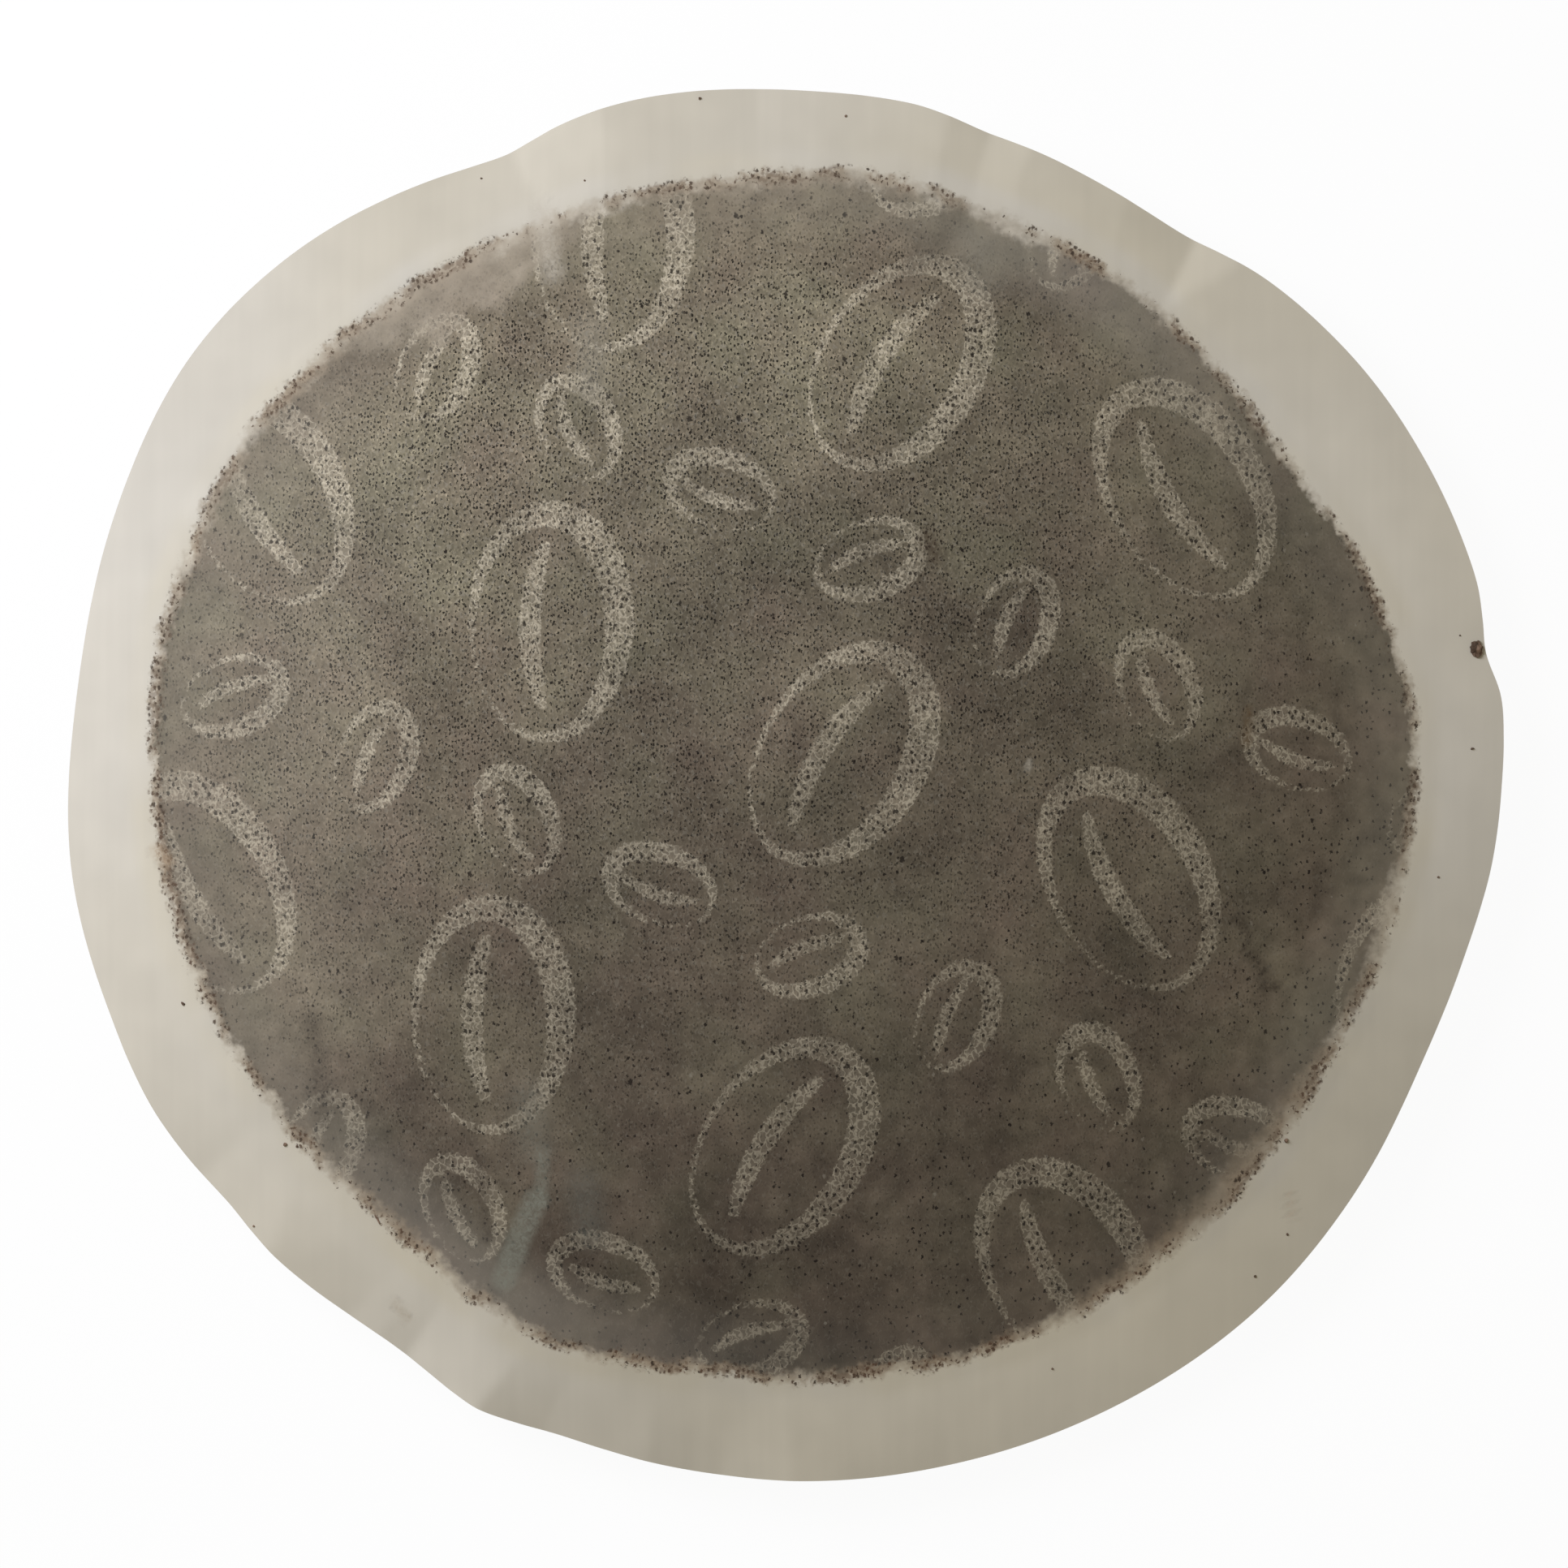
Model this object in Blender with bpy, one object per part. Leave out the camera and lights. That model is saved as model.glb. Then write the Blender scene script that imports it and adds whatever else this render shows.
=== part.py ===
"""Soft coffee pod: two discs of filter paper, heat-sealed to each other round a cake of ground coffee.

Units are metres, with +Z up. The pod lies on its belly, as on a table. The origin is at the table's
height under the middle of the pod; +X is to its right and +Y to its top, seen from above.
"""

import math

import bmesh
import bpy

MM = 0.001

# The cake of ground coffee seen from above, the slack paper round it and the sealed flange round that.
BED_RADIUS = 30.6 * MM
SLACK_WIDTH = 1.0 * MM
SEAL_WIDTH = 3.5 * MM

# The section: how far the paper stands out above and below the seal, how square its shoulders are, and how
# gently it eases into the seal.
CROWN_HEIGHT = 5.4 * MM
CROWN_SQUARENESS = 2.0
CROWN_EASE = 1.5
BELLY_DEPTH = 3.0 * MM
BELLY_SQUARENESS = 3.0
BELLY_EASE = 1.3

# The belly leaves the table this far inside the coffee's edge. The crimps of the rim run this far inwards
# past the seal before they fade out, and the rim hangs a little below the level that they start from.
BELLY_SIDE = 9.6 * MM
CRIMP_REACH = 5.0 * MM
CRIMP_FADE = 1.5
RIM_DROOP = 0.9 * MM

# The paper, and the clearances that the pieces keep.
PAPER_THICKNESS = 0.1 * MM
SEAL_GAP = 0.06 * MM
GROUNDS_GAP = 0.2 * MM

# How finely the pod is made: the widest sector in degrees, and rings as shares of the way across each zone.
WIDEST_SECTOR = 4
DOME_SHARES = (0.2, 0.4, 0.6, 0.76, 0.88, 0.95, 1.0)
BELLY_SHARES = (0.0, 0.3, 0.55, 0.8, 1.0)
FLANGE_SHARES = (0.0, 0.35, 0.7, 1.0)
SHARP_ANGLE = math.radians(50)

# Where the coffee's edge turns: degrees round from +X, and how far it lies outside BED_RADIUS.
BED_TURNS = (
    (5, 0.95 * MM),
    (18, 0.45 * MM),
    (32, -0.65 * MM),
    (42, -0.8 * MM),
    (55, -0.3 * MM),
    (70, -0.3 * MM),
    (80, 0.15 * MM),
    (95, -0.2 * MM),
    (118, 0.1 * MM),
    (135, 0.75 * MM),
    (150, 1.25 * MM),
    (165, 1.3 * MM),
    (185, 0.75 * MM),
    (198, 0.25 * MM),
    (213, -0.5 * MM),
    (228, -1.05 * MM),
    (245, -0.45 * MM),
    (262, -1.0 * MM),
    (280, -0.8 * MM),
    (300, -0.35 * MM),
    (318, -0.25 * MM),
    (338, -0.1 * MM),
    (352, 0.6 * MM),
)

# The crimps of the rim: degrees round from +X, how far the cut edge lies outside the mean radius, and how
# far it is lifted above its droop. Folds stand high and lie between low valleys.
RIM_CRIMPS = (
    (0, 0.68 * MM, 0.4 * MM),
    (7, 0.9 * MM, 0.6 * MM),
    (10.5, 0.5 * MM, 0.3 * MM),
    (16, 0.87 * MM, 0.4 * MM),
    (32, 0.58 * MM, 0.2 * MM),
    (40, 0.15 * MM, 0.4 * MM),
    (47, -0.4 * MM, 0.8 * MM),
    (54, -1.2 * MM, 0.3 * MM),
    (61, -1.3 * MM, 0.7 * MM),
    (67, -1.2 * MM, 0.8 * MM),
    (73, -1.07 * MM, 0.4 * MM),
    (79, -0.62 * MM, 0.6 * MM),
    (87, -0.55 * MM, 0.4 * MM),
    (102, -0.2 * MM, 0.5 * MM),
    (109, -0.35 * MM, 0.3 * MM),
    (114, -0.68 * MM, -0.1 * MM),
    (120, -0.2 * MM, 0.1 * MM),
    (132, 0.88 * MM, 0.4 * MM),
    (144, 1.35 * MM, 0.5 * MM),
    (158, 0.9 * MM, 0.2 * MM),
    (172, 0.5 * MM, -0.1 * MM),
    (187, 0.72 * MM, 0.2 * MM),
    (199, 0.44 * MM, 0.0 * MM),
    (207, 0.34 * MM, 0.2 * MM),
    (213, -0.05 * MM, 0.5 * MM),
    (217, -0.4 * MM, 0.1 * MM),
    (223, -0.48 * MM, 0.5 * MM),
    (234, -0.98 * MM, 0.0 * MM),
    (239, -0.8 * MM, 0.2 * MM),
    (244, -0.47 * MM, 0.7 * MM),
    (251, -0.76 * MM, 0.2 * MM),
    (262, -0.55 * MM, 0.2 * MM),
    (270, -0.4 * MM, 0.5 * MM),
    (277, -0.25 * MM, 0.2 * MM),
    (295, 0.05 * MM, 0.0 * MM),
    (312, 0.18 * MM, 0.2 * MM),
    (325, -0.14 * MM, 0.6 * MM),
    (336, -0.45 * MM, 0.8 * MM),
    (346, -0.12 * MM, 0.5 * MM),
    (353, 0.38 * MM, 0.3 * MM),
)

# Worked out from the sizes above.
SEAL_HEIGHT = PAPER_THICKNESS + BELLY_DEPTH + SEAL_GAP / 2
RIM_RADIUS = BED_RADIUS + SLACK_WIDTH + SEAL_WIDTH
RIM_OUTLINE = [(bearing, outside) for bearing, outside, lift in RIM_CRIMPS]
RIM_LIFTS = [(bearing, lift) for bearing, outside, lift in RIM_CRIMPS]
FULL_TURN = 360


def bearings_round():
    """Bearings round the pod, one on each fold and valley of the rim and the rest evenly between them."""
    folds = [bearing for bearing, lift in RIM_LIFTS]
    bearings = []
    for start, end in zip(folds, folds[1:] + [folds[0] + FULL_TURN]):
        count = math.ceil((end - start) / WIDEST_SECTOR)
        bearings += [start + (end - start) * step / count for step in range(count)]
    return bearings


def value_at(bearing, turns):
    """The value at a bearing on a smooth closed curve through pairs of a bearing and its value."""
    following = sum(turn[0] <= bearing for turn in turns)

    def pair(index):
        rounds, place = divmod(index, len(turns))
        return turns[place][0] + FULL_TURN * rounds, turns[place][1]

    (a0, v0), (a1, v1), (a2, v2), (a3, v3) = (pair(following + step) for step in (-2, -1, 0, 1))
    span = a2 - a1
    leaving = (v2 - v0) / (a2 - a0) * span
    arriving = (v3 - v1) / (a3 - a1) * span
    t = (bearing - a1) / span
    return (
        (1 + 2 * t) * (1 - t) ** 2 * v1
        + t * (1 - t) ** 2 * leaving
        + t**2 * (3 - 2 * t) * v2
        - t**2 * (1 - t) * arriving
    )


def middle(bearing):
    """The middle of the pod, as a ring of no size."""
    return 0.0


def foot_radius(bearing):
    """Where the belly leaves the table."""
    return BED_RADIUS - BELLY_SIDE


def bed_radius(bearing):
    """How far out the coffee reaches."""
    return BED_RADIUS + value_at(bearing, BED_TURNS)


def seal_radius(bearing):
    """Where the two papers meet, past a strip of slack paper."""
    return bed_radius(bearing) + SLACK_WIDTH


def rim_radius(bearing):
    """Where the paper is cut off."""
    return RIM_RADIUS + value_at(bearing, RIM_OUTLINE)


def rings_across(inner, outer, shares):
    """Rings that lie at shares of the way from one ring to another, all round."""
    return [
        lambda bearing, share=share: (1 - share) * inner(bearing) + share * outer(bearing)
        for share in shares
    ]


def seam_height(bearing, radius):
    """The height of the seal, level inside the pod and running up and down with the crimps outside it."""
    level_to = seal_radius(bearing) - CRIMP_REACH
    share = max(0.0, radius - level_to) / (rim_radius(bearing) - level_to)
    return SEAL_HEIGHT + (value_at(bearing, RIM_LIFTS) - RIM_DROOP) * share**CRIMP_FADE


def dome_face(bearing, radius):
    """The inner face of the upper paper: a dome over the coffee, and flat on the seal outside it."""
    share = min(1.0, radius / seal_radius(bearing))
    rise = CROWN_HEIGHT * (1 - share**CROWN_SQUARENESS) ** CROWN_EASE
    return seam_height(bearing, radius) + SEAL_GAP / 2 + rise


def belly_face(bearing, radius):
    """The inner face of the lower paper: a level foot, a round side up to the seal, and flat on the seal."""
    foot = foot_radius(bearing)
    share = min(1.0, max(0.0, radius - foot) / (seal_radius(bearing) - foot))
    drop = BELLY_DEPTH * (1 - share**BELLY_SQUARENESS) ** BELLY_EASE
    return seam_height(bearing, radius) - SEAL_GAP / 2 - drop


def raised(face, rise):
    """The same face, moved straight up, or down where the rise is negative."""
    return lambda bearing, radius: face(bearing, radius) + rise


def point(bearing, radius, height):
    """A point of the pod about the middle of its coffee."""
    angle = math.radians(bearing)
    return radius * math.cos(angle), radius * math.sin(angle), height


def around(ring):
    """The places of each two neighbours round a closed ring."""
    return [(here, (here + 1) % len(ring)) for here in range(len(ring))]


def add_skin(mesh, rings, face):
    """Add an open skin, from its middle out through the rings, and return its outermost ring."""
    tip = mesh.verts.new(point(0.0, 0.0, face(0.0, 0.0)))
    bearings = bearings_round()
    inner = None
    for ring in rings:
        radii = [ring(bearing) for bearing in bearings]
        outer = [
            mesh.verts.new(point(bearing, radius, face(bearing, radius)))
            for bearing, radius in zip(bearings, radii)
        ]
        for here, there in around(outer):
            if inner is None:
                mesh.faces.new((tip, outer[here], outer[there]))
            else:
                mesh.faces.new((inner[here], outer[here], outer[there]))
                mesh.faces.new((inner[here], outer[there], inner[there]))
        inner = outer
    return inner


def add_wall(mesh, top, bottom):
    """Close two skins with an upright wall between their outermost rings."""
    for here, there in around(top):
        mesh.faces.new((top[here], bottom[here], bottom[there], top[there]))


def add_piece(name, material, top, bottom):
    """Add a solid between a top and a bottom skin, each given as its rings and its face."""
    mesh = bmesh.new()
    add_wall(mesh, add_skin(mesh, *top), add_skin(mesh, *bottom))
    bmesh.ops.translate(mesh, verts=mesh.verts, vec=to_middle_of_rim())
    bmesh.ops.recalc_face_normals(mesh, faces=mesh.faces)
    data = bpy.data.meshes.new(name)
    mesh.to_mesh(data)
    mesh.free()
    data.materials.append(material)
    data.shade_smooth()
    data.set_sharp_from_angle(angle=SHARP_ANGLE)
    bpy.context.collection.objects.link(bpy.data.objects.new(name, data))


def to_middle_of_rim():
    """The move that puts the middle of the box round the cut edge over the origin."""
    edge = [point(bearing, rim_radius(bearing), 0.0) for bearing in bearings_round()]
    return [-(min(line) + max(line)) / 2 for line in zip(*edge)]


def add_material(name, colour, roughness):
    """A plain finish of one colour."""
    material = bpy.data.materials.new(name)
    material.use_nodes = True
    shader = material.node_tree.nodes["Principled BSDF"]
    shader.inputs["Base Color"].default_value = (*colour, 1.0)
    shader.inputs["Roughness"].default_value = roughness
    shader.inputs["Metallic"].default_value = 0.0
    return material


def main():
    """Model the pod."""
    for old in list(bpy.data.objects):
        bpy.data.objects.remove(old)
    paper = add_material("filter_paper", (0.66, 0.61, 0.52), 0.9)
    grounds = add_material("ground_coffee", (0.07, 0.04, 0.025), 0.85)

    dome_rings = rings_across(middle, bed_radius, DOME_SHARES)
    belly_rings = rings_across(foot_radius, bed_radius, BELLY_SHARES)
    flange_rings = rings_across(seal_radius, rim_radius, FLANGE_SHARES)
    add_piece(
        "upper_paper",
        paper,
        top=(dome_rings + flange_rings, raised(dome_face, PAPER_THICKNESS)),
        bottom=(dome_rings + flange_rings, dome_face),
    )
    add_piece(
        "lower_paper",
        paper,
        top=(belly_rings + flange_rings, belly_face),
        bottom=(belly_rings + flange_rings, raised(belly_face, -PAPER_THICKNESS)),
    )
    add_piece(
        "coffee_bed",
        grounds,
        top=(dome_rings, raised(dome_face, -GROUNDS_GAP)),
        bottom=(belly_rings, raised(belly_face, GROUNDS_GAP)),
    )


main()
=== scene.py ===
"""Looks of a soft coffee pod: two creased filter papers round a cake of ground coffee, on a pale floor.

Sizes are in millimetres, and MM turns them into Blender's metres. Places are taken from the pod's middle,
+X to the right and +Y to the top as the camera sees it. Bearings run round from +X, in degrees.
"""

import logging
import math
from dataclasses import dataclass
from enum import Enum
from functools import partial, reduce
from typing import Any, Sequence

import bmesh
import bpy
import numpy as np
from mathutils import Matrix, Vector, noise


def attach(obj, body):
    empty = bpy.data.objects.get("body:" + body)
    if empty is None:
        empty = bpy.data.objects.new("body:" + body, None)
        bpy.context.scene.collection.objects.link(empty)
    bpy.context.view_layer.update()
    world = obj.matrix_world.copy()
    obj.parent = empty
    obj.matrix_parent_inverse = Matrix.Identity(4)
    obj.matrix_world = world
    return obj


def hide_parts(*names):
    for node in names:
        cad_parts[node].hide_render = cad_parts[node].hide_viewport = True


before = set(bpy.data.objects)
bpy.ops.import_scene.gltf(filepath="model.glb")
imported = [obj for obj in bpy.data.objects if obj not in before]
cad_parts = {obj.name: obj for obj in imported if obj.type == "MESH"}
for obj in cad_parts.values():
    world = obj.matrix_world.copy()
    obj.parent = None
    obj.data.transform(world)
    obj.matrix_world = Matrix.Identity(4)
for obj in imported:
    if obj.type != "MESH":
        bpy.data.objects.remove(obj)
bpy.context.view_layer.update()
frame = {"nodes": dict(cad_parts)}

log = logging.getLogger("coffee_pod")

MM = 0.001
FULL_TURN = 360.0
# The least that anything is divided by.
TINY = 1e-6

Colour = tuple[float, float, float]
Place = tuple[float, float]
Socket = bpy.types.NodeSocket

WHITE: Colour = (1.0, 1.0, 1.0)


def smooth_step(low: float, high: float, value: np.ndarray) -> np.ndarray:
    """Ease from 0 at the low value to 1 at the high one.

    Args:
        low: Where the step starts.
        high: Where it ends; it may lie below the start.
        value: The values to ease.

    Returns:
        The eased values, from 0 to 1.
    """
    share = np.clip((value - low) / (high - low), 0.0, 1.0)
    return share * share * (3.0 - 2.0 * share)


def select_only(*pieces: bpy.types.Object) -> None:
    """Leave edit mode and select some objects alone.

    Args:
        pieces: The objects, of which the first becomes active; none, to select nothing.
    """
    if bpy.context.object and bpy.context.object.mode != "OBJECT":
        bpy.ops.object.mode_set(mode="OBJECT")
    bpy.ops.object.select_all(action="DESELECT")
    for piece in pieces:
        piece.select_set(True)
    if pieces:
        bpy.context.view_layer.objects.active = pieces[0]


def apply_modifiers(piece: bpy.types.Object) -> None:
    """Apply modifiers, first to last.

    Args:
        piece: The object that has them.
    """
    select_only(piece)
    for name in [modifier.name for modifier in piece.modifiers]:
        bpy.ops.object.modifier_apply(modifier=name)


def put_in_scene(name: str, data: bpy.types.ID) -> bpy.types.Object:
    """Make an object and put it in the scene.

    Args:
        name: Its name.
        data: Its mesh, light or camera.

    Returns:
        The object.
    """
    piece = bpy.data.objects.new(name, data)
    bpy.context.scene.collection.objects.link(piece)
    return piece


def log_size(piece: bpy.types.Object) -> None:
    """Report how many triangles an object has."""
    count = sum(len(polygon.vertices) - 2 for polygon in piece.data.polygons)
    log.info("%s: %d triangles", piece.name, count)


@dataclass(frozen=True)
class RoundCurve:
    """A smooth closed curve, which gives a value for each bearing round the pod.

    Args:
        bearings: Degrees in rising order, from 0 to 360.
        values: The curve's value at each of them.
    """

    bearings: np.ndarray
    values: np.ndarray

    @classmethod
    def through(cls, *pairs: tuple[float, float]) -> "RoundCurve":
        """Make the curve through pairs of a bearing and a value."""
        return cls(*np.array(pairs, float).T)

    def eased(self, spread: float) -> "RoundCurve":
        """The same curve with its short waves smoothed away.

        Args:
            spread: How many degrees to either side each value is averaged with.

        Returns:
            The smoothed curve.
        """
        apart = np.abs(self.bearings[:, None] - self.bearings[None, :])
        weight = np.exp(-((np.minimum(apart, FULL_TURN - apart) / spread) ** 2))
        return RoundCurve(self.bearings, weight @ self.values / weight.sum(axis=1))

    def at(self, bearing: np.ndarray) -> np.ndarray:
        """Read the curve.

        Args:
            bearing: Any bearings, in degrees.

        Returns:
            The value at each of them.
        """
        known = np.concatenate([self.bearings[-2:] - FULL_TURN, self.bearings, self.bearings[:2] + FULL_TURN])
        value = np.concatenate([self.values[-2:], self.values, self.values[:2]])
        bearing = np.mod(bearing, FULL_TURN)
        after = np.searchsorted(known, bearing, side="right")
        a0, a1, a2, a3 = (known[after + step] for step in (-2, -1, 0, 1))
        v0, v1, v2, v3 = (value[after + step] for step in (-2, -1, 0, 1))
        leaving = (v2 - v0) / (a2 - a0) * (a2 - a1)
        arriving = (v3 - v1) / (a3 - a1) * (a2 - a1)
        t = (bearing - a1) / (a2 - a1)
        return (
            (1 + 2 * t) * (1 - t) ** 2 * v1
            + t * (1 - t) ** 2 * leaving
            + t**2 * (3 - 2 * t) * v2
            - t**2 * (1 - t) * arriving
        )


@dataclass(frozen=True)
class Spots:
    """Places spread over the pod.

    Args:
        x: How far to the right of its middle they lie.
        y: How far to the top.
        bearing: Their bearings.
        radius: How far out they lie.
        into_bed: How far inside the coffee's edge.
    """

    x: np.ndarray
    y: np.ndarray
    bearing: np.ndarray
    radius: np.ndarray
    into_bed: np.ndarray

    def clouds(self, size: float, layer: float, octaves: int = 1) -> np.ndarray:
        """Smooth noise, about 0 and mostly within 0.5 of it.

        Args:
            size: How wide one swell is.
            layer: Which noise it is; two layers have nothing in common.
            octaves: How many finer noises, each half as wide and strong as the last, it is made of.

        Returns:
            One value for each place.
        """
        places = zip(self.x / size, self.y / size)
        return np.array([noise.fractal((a, b, layer), 1.0, 2.0, octaves) for a, b in places])

    def share_along(self, start: Place, end: Place) -> np.ndarray:
        """How far along a line the places lie, from 0 at its start to 1 at its end."""
        run_x, run_y = end[0] - start[0], end[1] - start[1]
        return ((self.x - start[0]) * run_x + (self.y - start[1]) * run_y) / (run_x**2 + run_y**2)


@dataclass(frozen=True)
class DiscGrid:
    """An even grid of quads over a round sheet: a square grid whose squares are pushed out to rings."""

    rings: int = 105

    def corners(self) -> tuple[np.ndarray, np.ndarray]:
        """Place the corners of the grid.

        Returns:
            How far out each corner lies, from 0 to 1, and its bearing.
        """
        line = np.linspace(-1.0, 1.0, 2 * self.rings + 1)
        a, b = (values.ravel() for values in np.meshgrid(line, line))
        share = np.maximum(np.abs(a), np.abs(b))
        safe = np.maximum(share, TINY)
        eighth = FULL_TURN / 8
        sideways = np.abs(a) > np.abs(b)
        by_side = np.where(a > 0, 0.0, 4.0) * eighth + eighth * np.sign(a) * b / safe
        by_end = np.where(b > 0, 2.0, 6.0) * eighth - eighth * np.sign(b) * a / safe
        return share, np.mod(np.where(sideways, by_side, by_end), FULL_TURN)

    def faces(self) -> list[tuple[int, int, int, int]]:
        """Join the corners.

        Returns:
            The quads, anticlockwise as seen from above.
        """
        across = 2 * self.rings + 1
        starts = [row * across + column for row in range(across - 1) for column in range(across - 1)]
        return [(start, start + 1, start + across + 1, start + across) for start in starts]


@dataclass(frozen=True)
class PodForm:
    """The form that the papers and the coffee share, with its outlines read from the CAD nodes."""

    middle: Place
    bed: RoundCurve
    rim: RoundCurve
    rim_rise: RoundCurve
    foot_radius: float
    crown_height: float = 5.4
    crown_squareness: float = 2.0
    crown_ease: float = 1.5
    belly_depth: float = 3.0
    belly_squareness: float = 3.0
    belly_ease: float = 1.3
    slack_width: float = 1.0
    crimp_reach: float = 5.0
    crimp_fade: float = 1.5
    crimp_easing: float = 9.0
    paper_thickness: float = 0.1
    seal_gap: float = 0.06

    @classmethod
    def from_frame(cls, nodes: dict[str, bpy.types.Object]) -> "PodForm":
        """Read the middle, the outlines and the rim's heights from the CAD nodes.

        Args:
            nodes: The CAD nodes by name.

        Returns:
            The form.
        """
        upper, lower, coffee = (
            cls.node_corners(nodes[name]) for name in ("upper_paper", "lower_paper", "coffee_bed")
        )
        middle = tuple(upper[np.argmax(upper[:, 2]), :2])
        rim_at, rim_radii, rim_heights = cls.outermost(upper, middle)
        bed_at, bed_radii, _ = cls.outermost(coffee, middle)
        foot = lower[lower[:, 2] < cls.paper_thickness / 2]
        level = cls.paper_thickness + cls.belly_depth + cls.seal_gap
        return cls(
            middle=middle,
            bed=RoundCurve(bed_at, bed_radii),
            rim=RoundCurve(rim_at, rim_radii),
            rim_rise=RoundCurve(rim_at, rim_heights - level).eased(cls.crimp_easing),
            foot_radius=float(np.hypot(*(foot[:, :2] - middle).T).max()),
        )

    @staticmethod
    def node_corners(node: bpy.types.Object) -> np.ndarray:
        """Read the corners of a CAD node.

        Args:
            node: The node.

        Returns:
            A row of X, Y and Z for each corner.
        """
        places = np.zeros(len(node.data.vertices) * 3)
        node.data.vertices.foreach_get("co", places)
        return places.reshape(-1, 3) / MM

    @staticmethod
    def outermost(corners: np.ndarray, middle: Place) -> tuple[np.ndarray, np.ndarray, np.ndarray]:
        """Find the outermost corner on each spoke of a node that is made in spokes round its middle.

        Args:
            corners: The node's corners.
            middle: Where its spokes meet.

        Returns:
            The bearing, the radius and the lowest height at that radius, for each spoke.
        """
        just_under_0 = 0.1
        spokes_per_degree = 4
        smallest_radius = 1.0
        same_radius = 0.01
        flat = corners[:, :2] - middle
        radius = np.hypot(*flat.T)
        bearing = np.degrees(np.arctan2(flat[:, 1], flat[:, 0]))
        bearing = np.mod(bearing + just_under_0, FULL_TURN) - just_under_0
        spokes: dict[int, list[int]] = {}
        for index in np.flatnonzero(radius > smallest_radius):
            spokes.setdefault(round(float(bearing[index]) * spokes_per_degree), []).append(index)
        rows = []
        for members in spokes.values():
            reach = radius[members].max()
            outer = [index for index in members if radius[index] > reach - same_radius]
            rows.append((bearing[outer].mean(), reach, corners[outer, 2].min()))
        rows.sort()
        return tuple(np.array(column) for column in zip(*rows))

    def spots(self, grid: DiscGrid) -> Spots:
        """Spread the corners of a grid over the pod, out to its rim.

        Args:
            grid: The grid.

        Returns:
            Their places.
        """
        share, bearing = grid.corners()
        radius = share * self.rim.at(bearing)
        angle = np.radians(bearing)
        into_bed = self.bed.at(bearing) - radius
        return Spots(radius * np.cos(angle), radius * np.sin(angle), bearing, radius, into_bed)

    @property
    def seal_height(self) -> float:
        """The height of the seal where the crimps start."""
        return self.paper_thickness + self.belly_depth + self.seal_gap / 2

    def seal_radius(self, spots: Spots) -> np.ndarray:
        """How far out the two papers meet."""
        return self.bed.at(spots.bearing) + self.slack_width

    def seam_height(self, spots: Spots) -> np.ndarray:
        """The height of the seal, level inside the pod and running with the crimps outside it.

        Args:
            spots: The places.

        Returns:
            The height at each of them.
        """
        level_to = self.seal_radius(spots) - self.crimp_reach
        share = np.clip((spots.radius - level_to) / (self.rim.at(spots.bearing) - level_to), 0.0, None)
        return self.seal_height + self.rim_rise.at(spots.bearing) * share**self.crimp_fade

    def upper_face(self, spots: Spots) -> np.ndarray:
        """The height of the upper paper's outer face.

        Args:
            spots: The places.

        Returns:
            The height at each of them.
        """
        share = np.clip(spots.radius / self.seal_radius(spots), 0.0, 1.0)
        rise = self.crown_height * (1 - share**self.crown_squareness) ** self.crown_ease
        return self.seam_height(spots) + self.seal_gap / 2 + self.paper_thickness + rise

    def lower_face(self, spots: Spots) -> np.ndarray:
        """The height of the lower paper's outer face.

        Args:
            spots: The places.

        Returns:
            The height at each of them.
        """
        side = self.seal_radius(spots) - self.foot_radius
        share = np.clip((spots.radius - self.foot_radius) / side, 0.0, 1.0)
        drop = self.belly_depth * (1 - share**self.belly_squareness) ** self.belly_ease
        return self.seam_height(spots) - self.seal_gap / 2 - self.paper_thickness - drop


@dataclass(frozen=True)
class FoldLine:
    """A straight fold over the rim: a ridge where its height is positive, or else a valley.

    Args:
        inner: Where it starts, at no height.
        outer: Where it leaves the rim.
        height: How high it stands there.
    """

    inner: Place
    outer: Place
    height: float
    longest_share: float = 1.2

    def across(self, spots: Spots) -> np.ndarray:
        """How far to the left of the line places lie, looking outwards.

        Args:
            spots: The places.

        Returns:
            The distance of each of them.
        """
        along_x, along_y = self.outer[0] - self.inner[0], self.outer[1] - self.inner[1]
        turned = along_x * (spots.y - self.inner[1]) - along_y * (spots.x - self.inner[0])
        return turned / math.hypot(along_x, along_y)

    def height_at(self, spots: Spots) -> np.ndarray:
        """How high the line stands beside each place."""
        return self.height * np.clip(spots.share_along(self.inner, self.outer), 0.0, self.longest_share)


@dataclass(frozen=True)
class Pleats:
    """A run of flat facets between fold lines, which are named anticlockwise and start and end level."""

    lines: tuple[FoldLine, ...]

    def height_at(self, spots: Spots) -> np.ndarray:
        """How far the pleats lift the paper.

        Args:
            spots: The places.

        Returns:
            The lift at each of them.
        """
        lift = np.zeros_like(spots.x)
        for right, left in zip(self.lines, self.lines[1:]):
            from_right, from_left = right.across(spots), -left.across(spots)
            outwards = spots.x * right.outer[0] + spots.y * right.outer[1] > 0
            share = from_right / np.maximum(from_right + from_left, TINY)
            facet = right.height_at(spots) * (1 - share) + left.height_at(spots) * share
            lift = np.where((from_right >= 0) & (from_left > 0) & outwards, facet, lift)
        return lift


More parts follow.
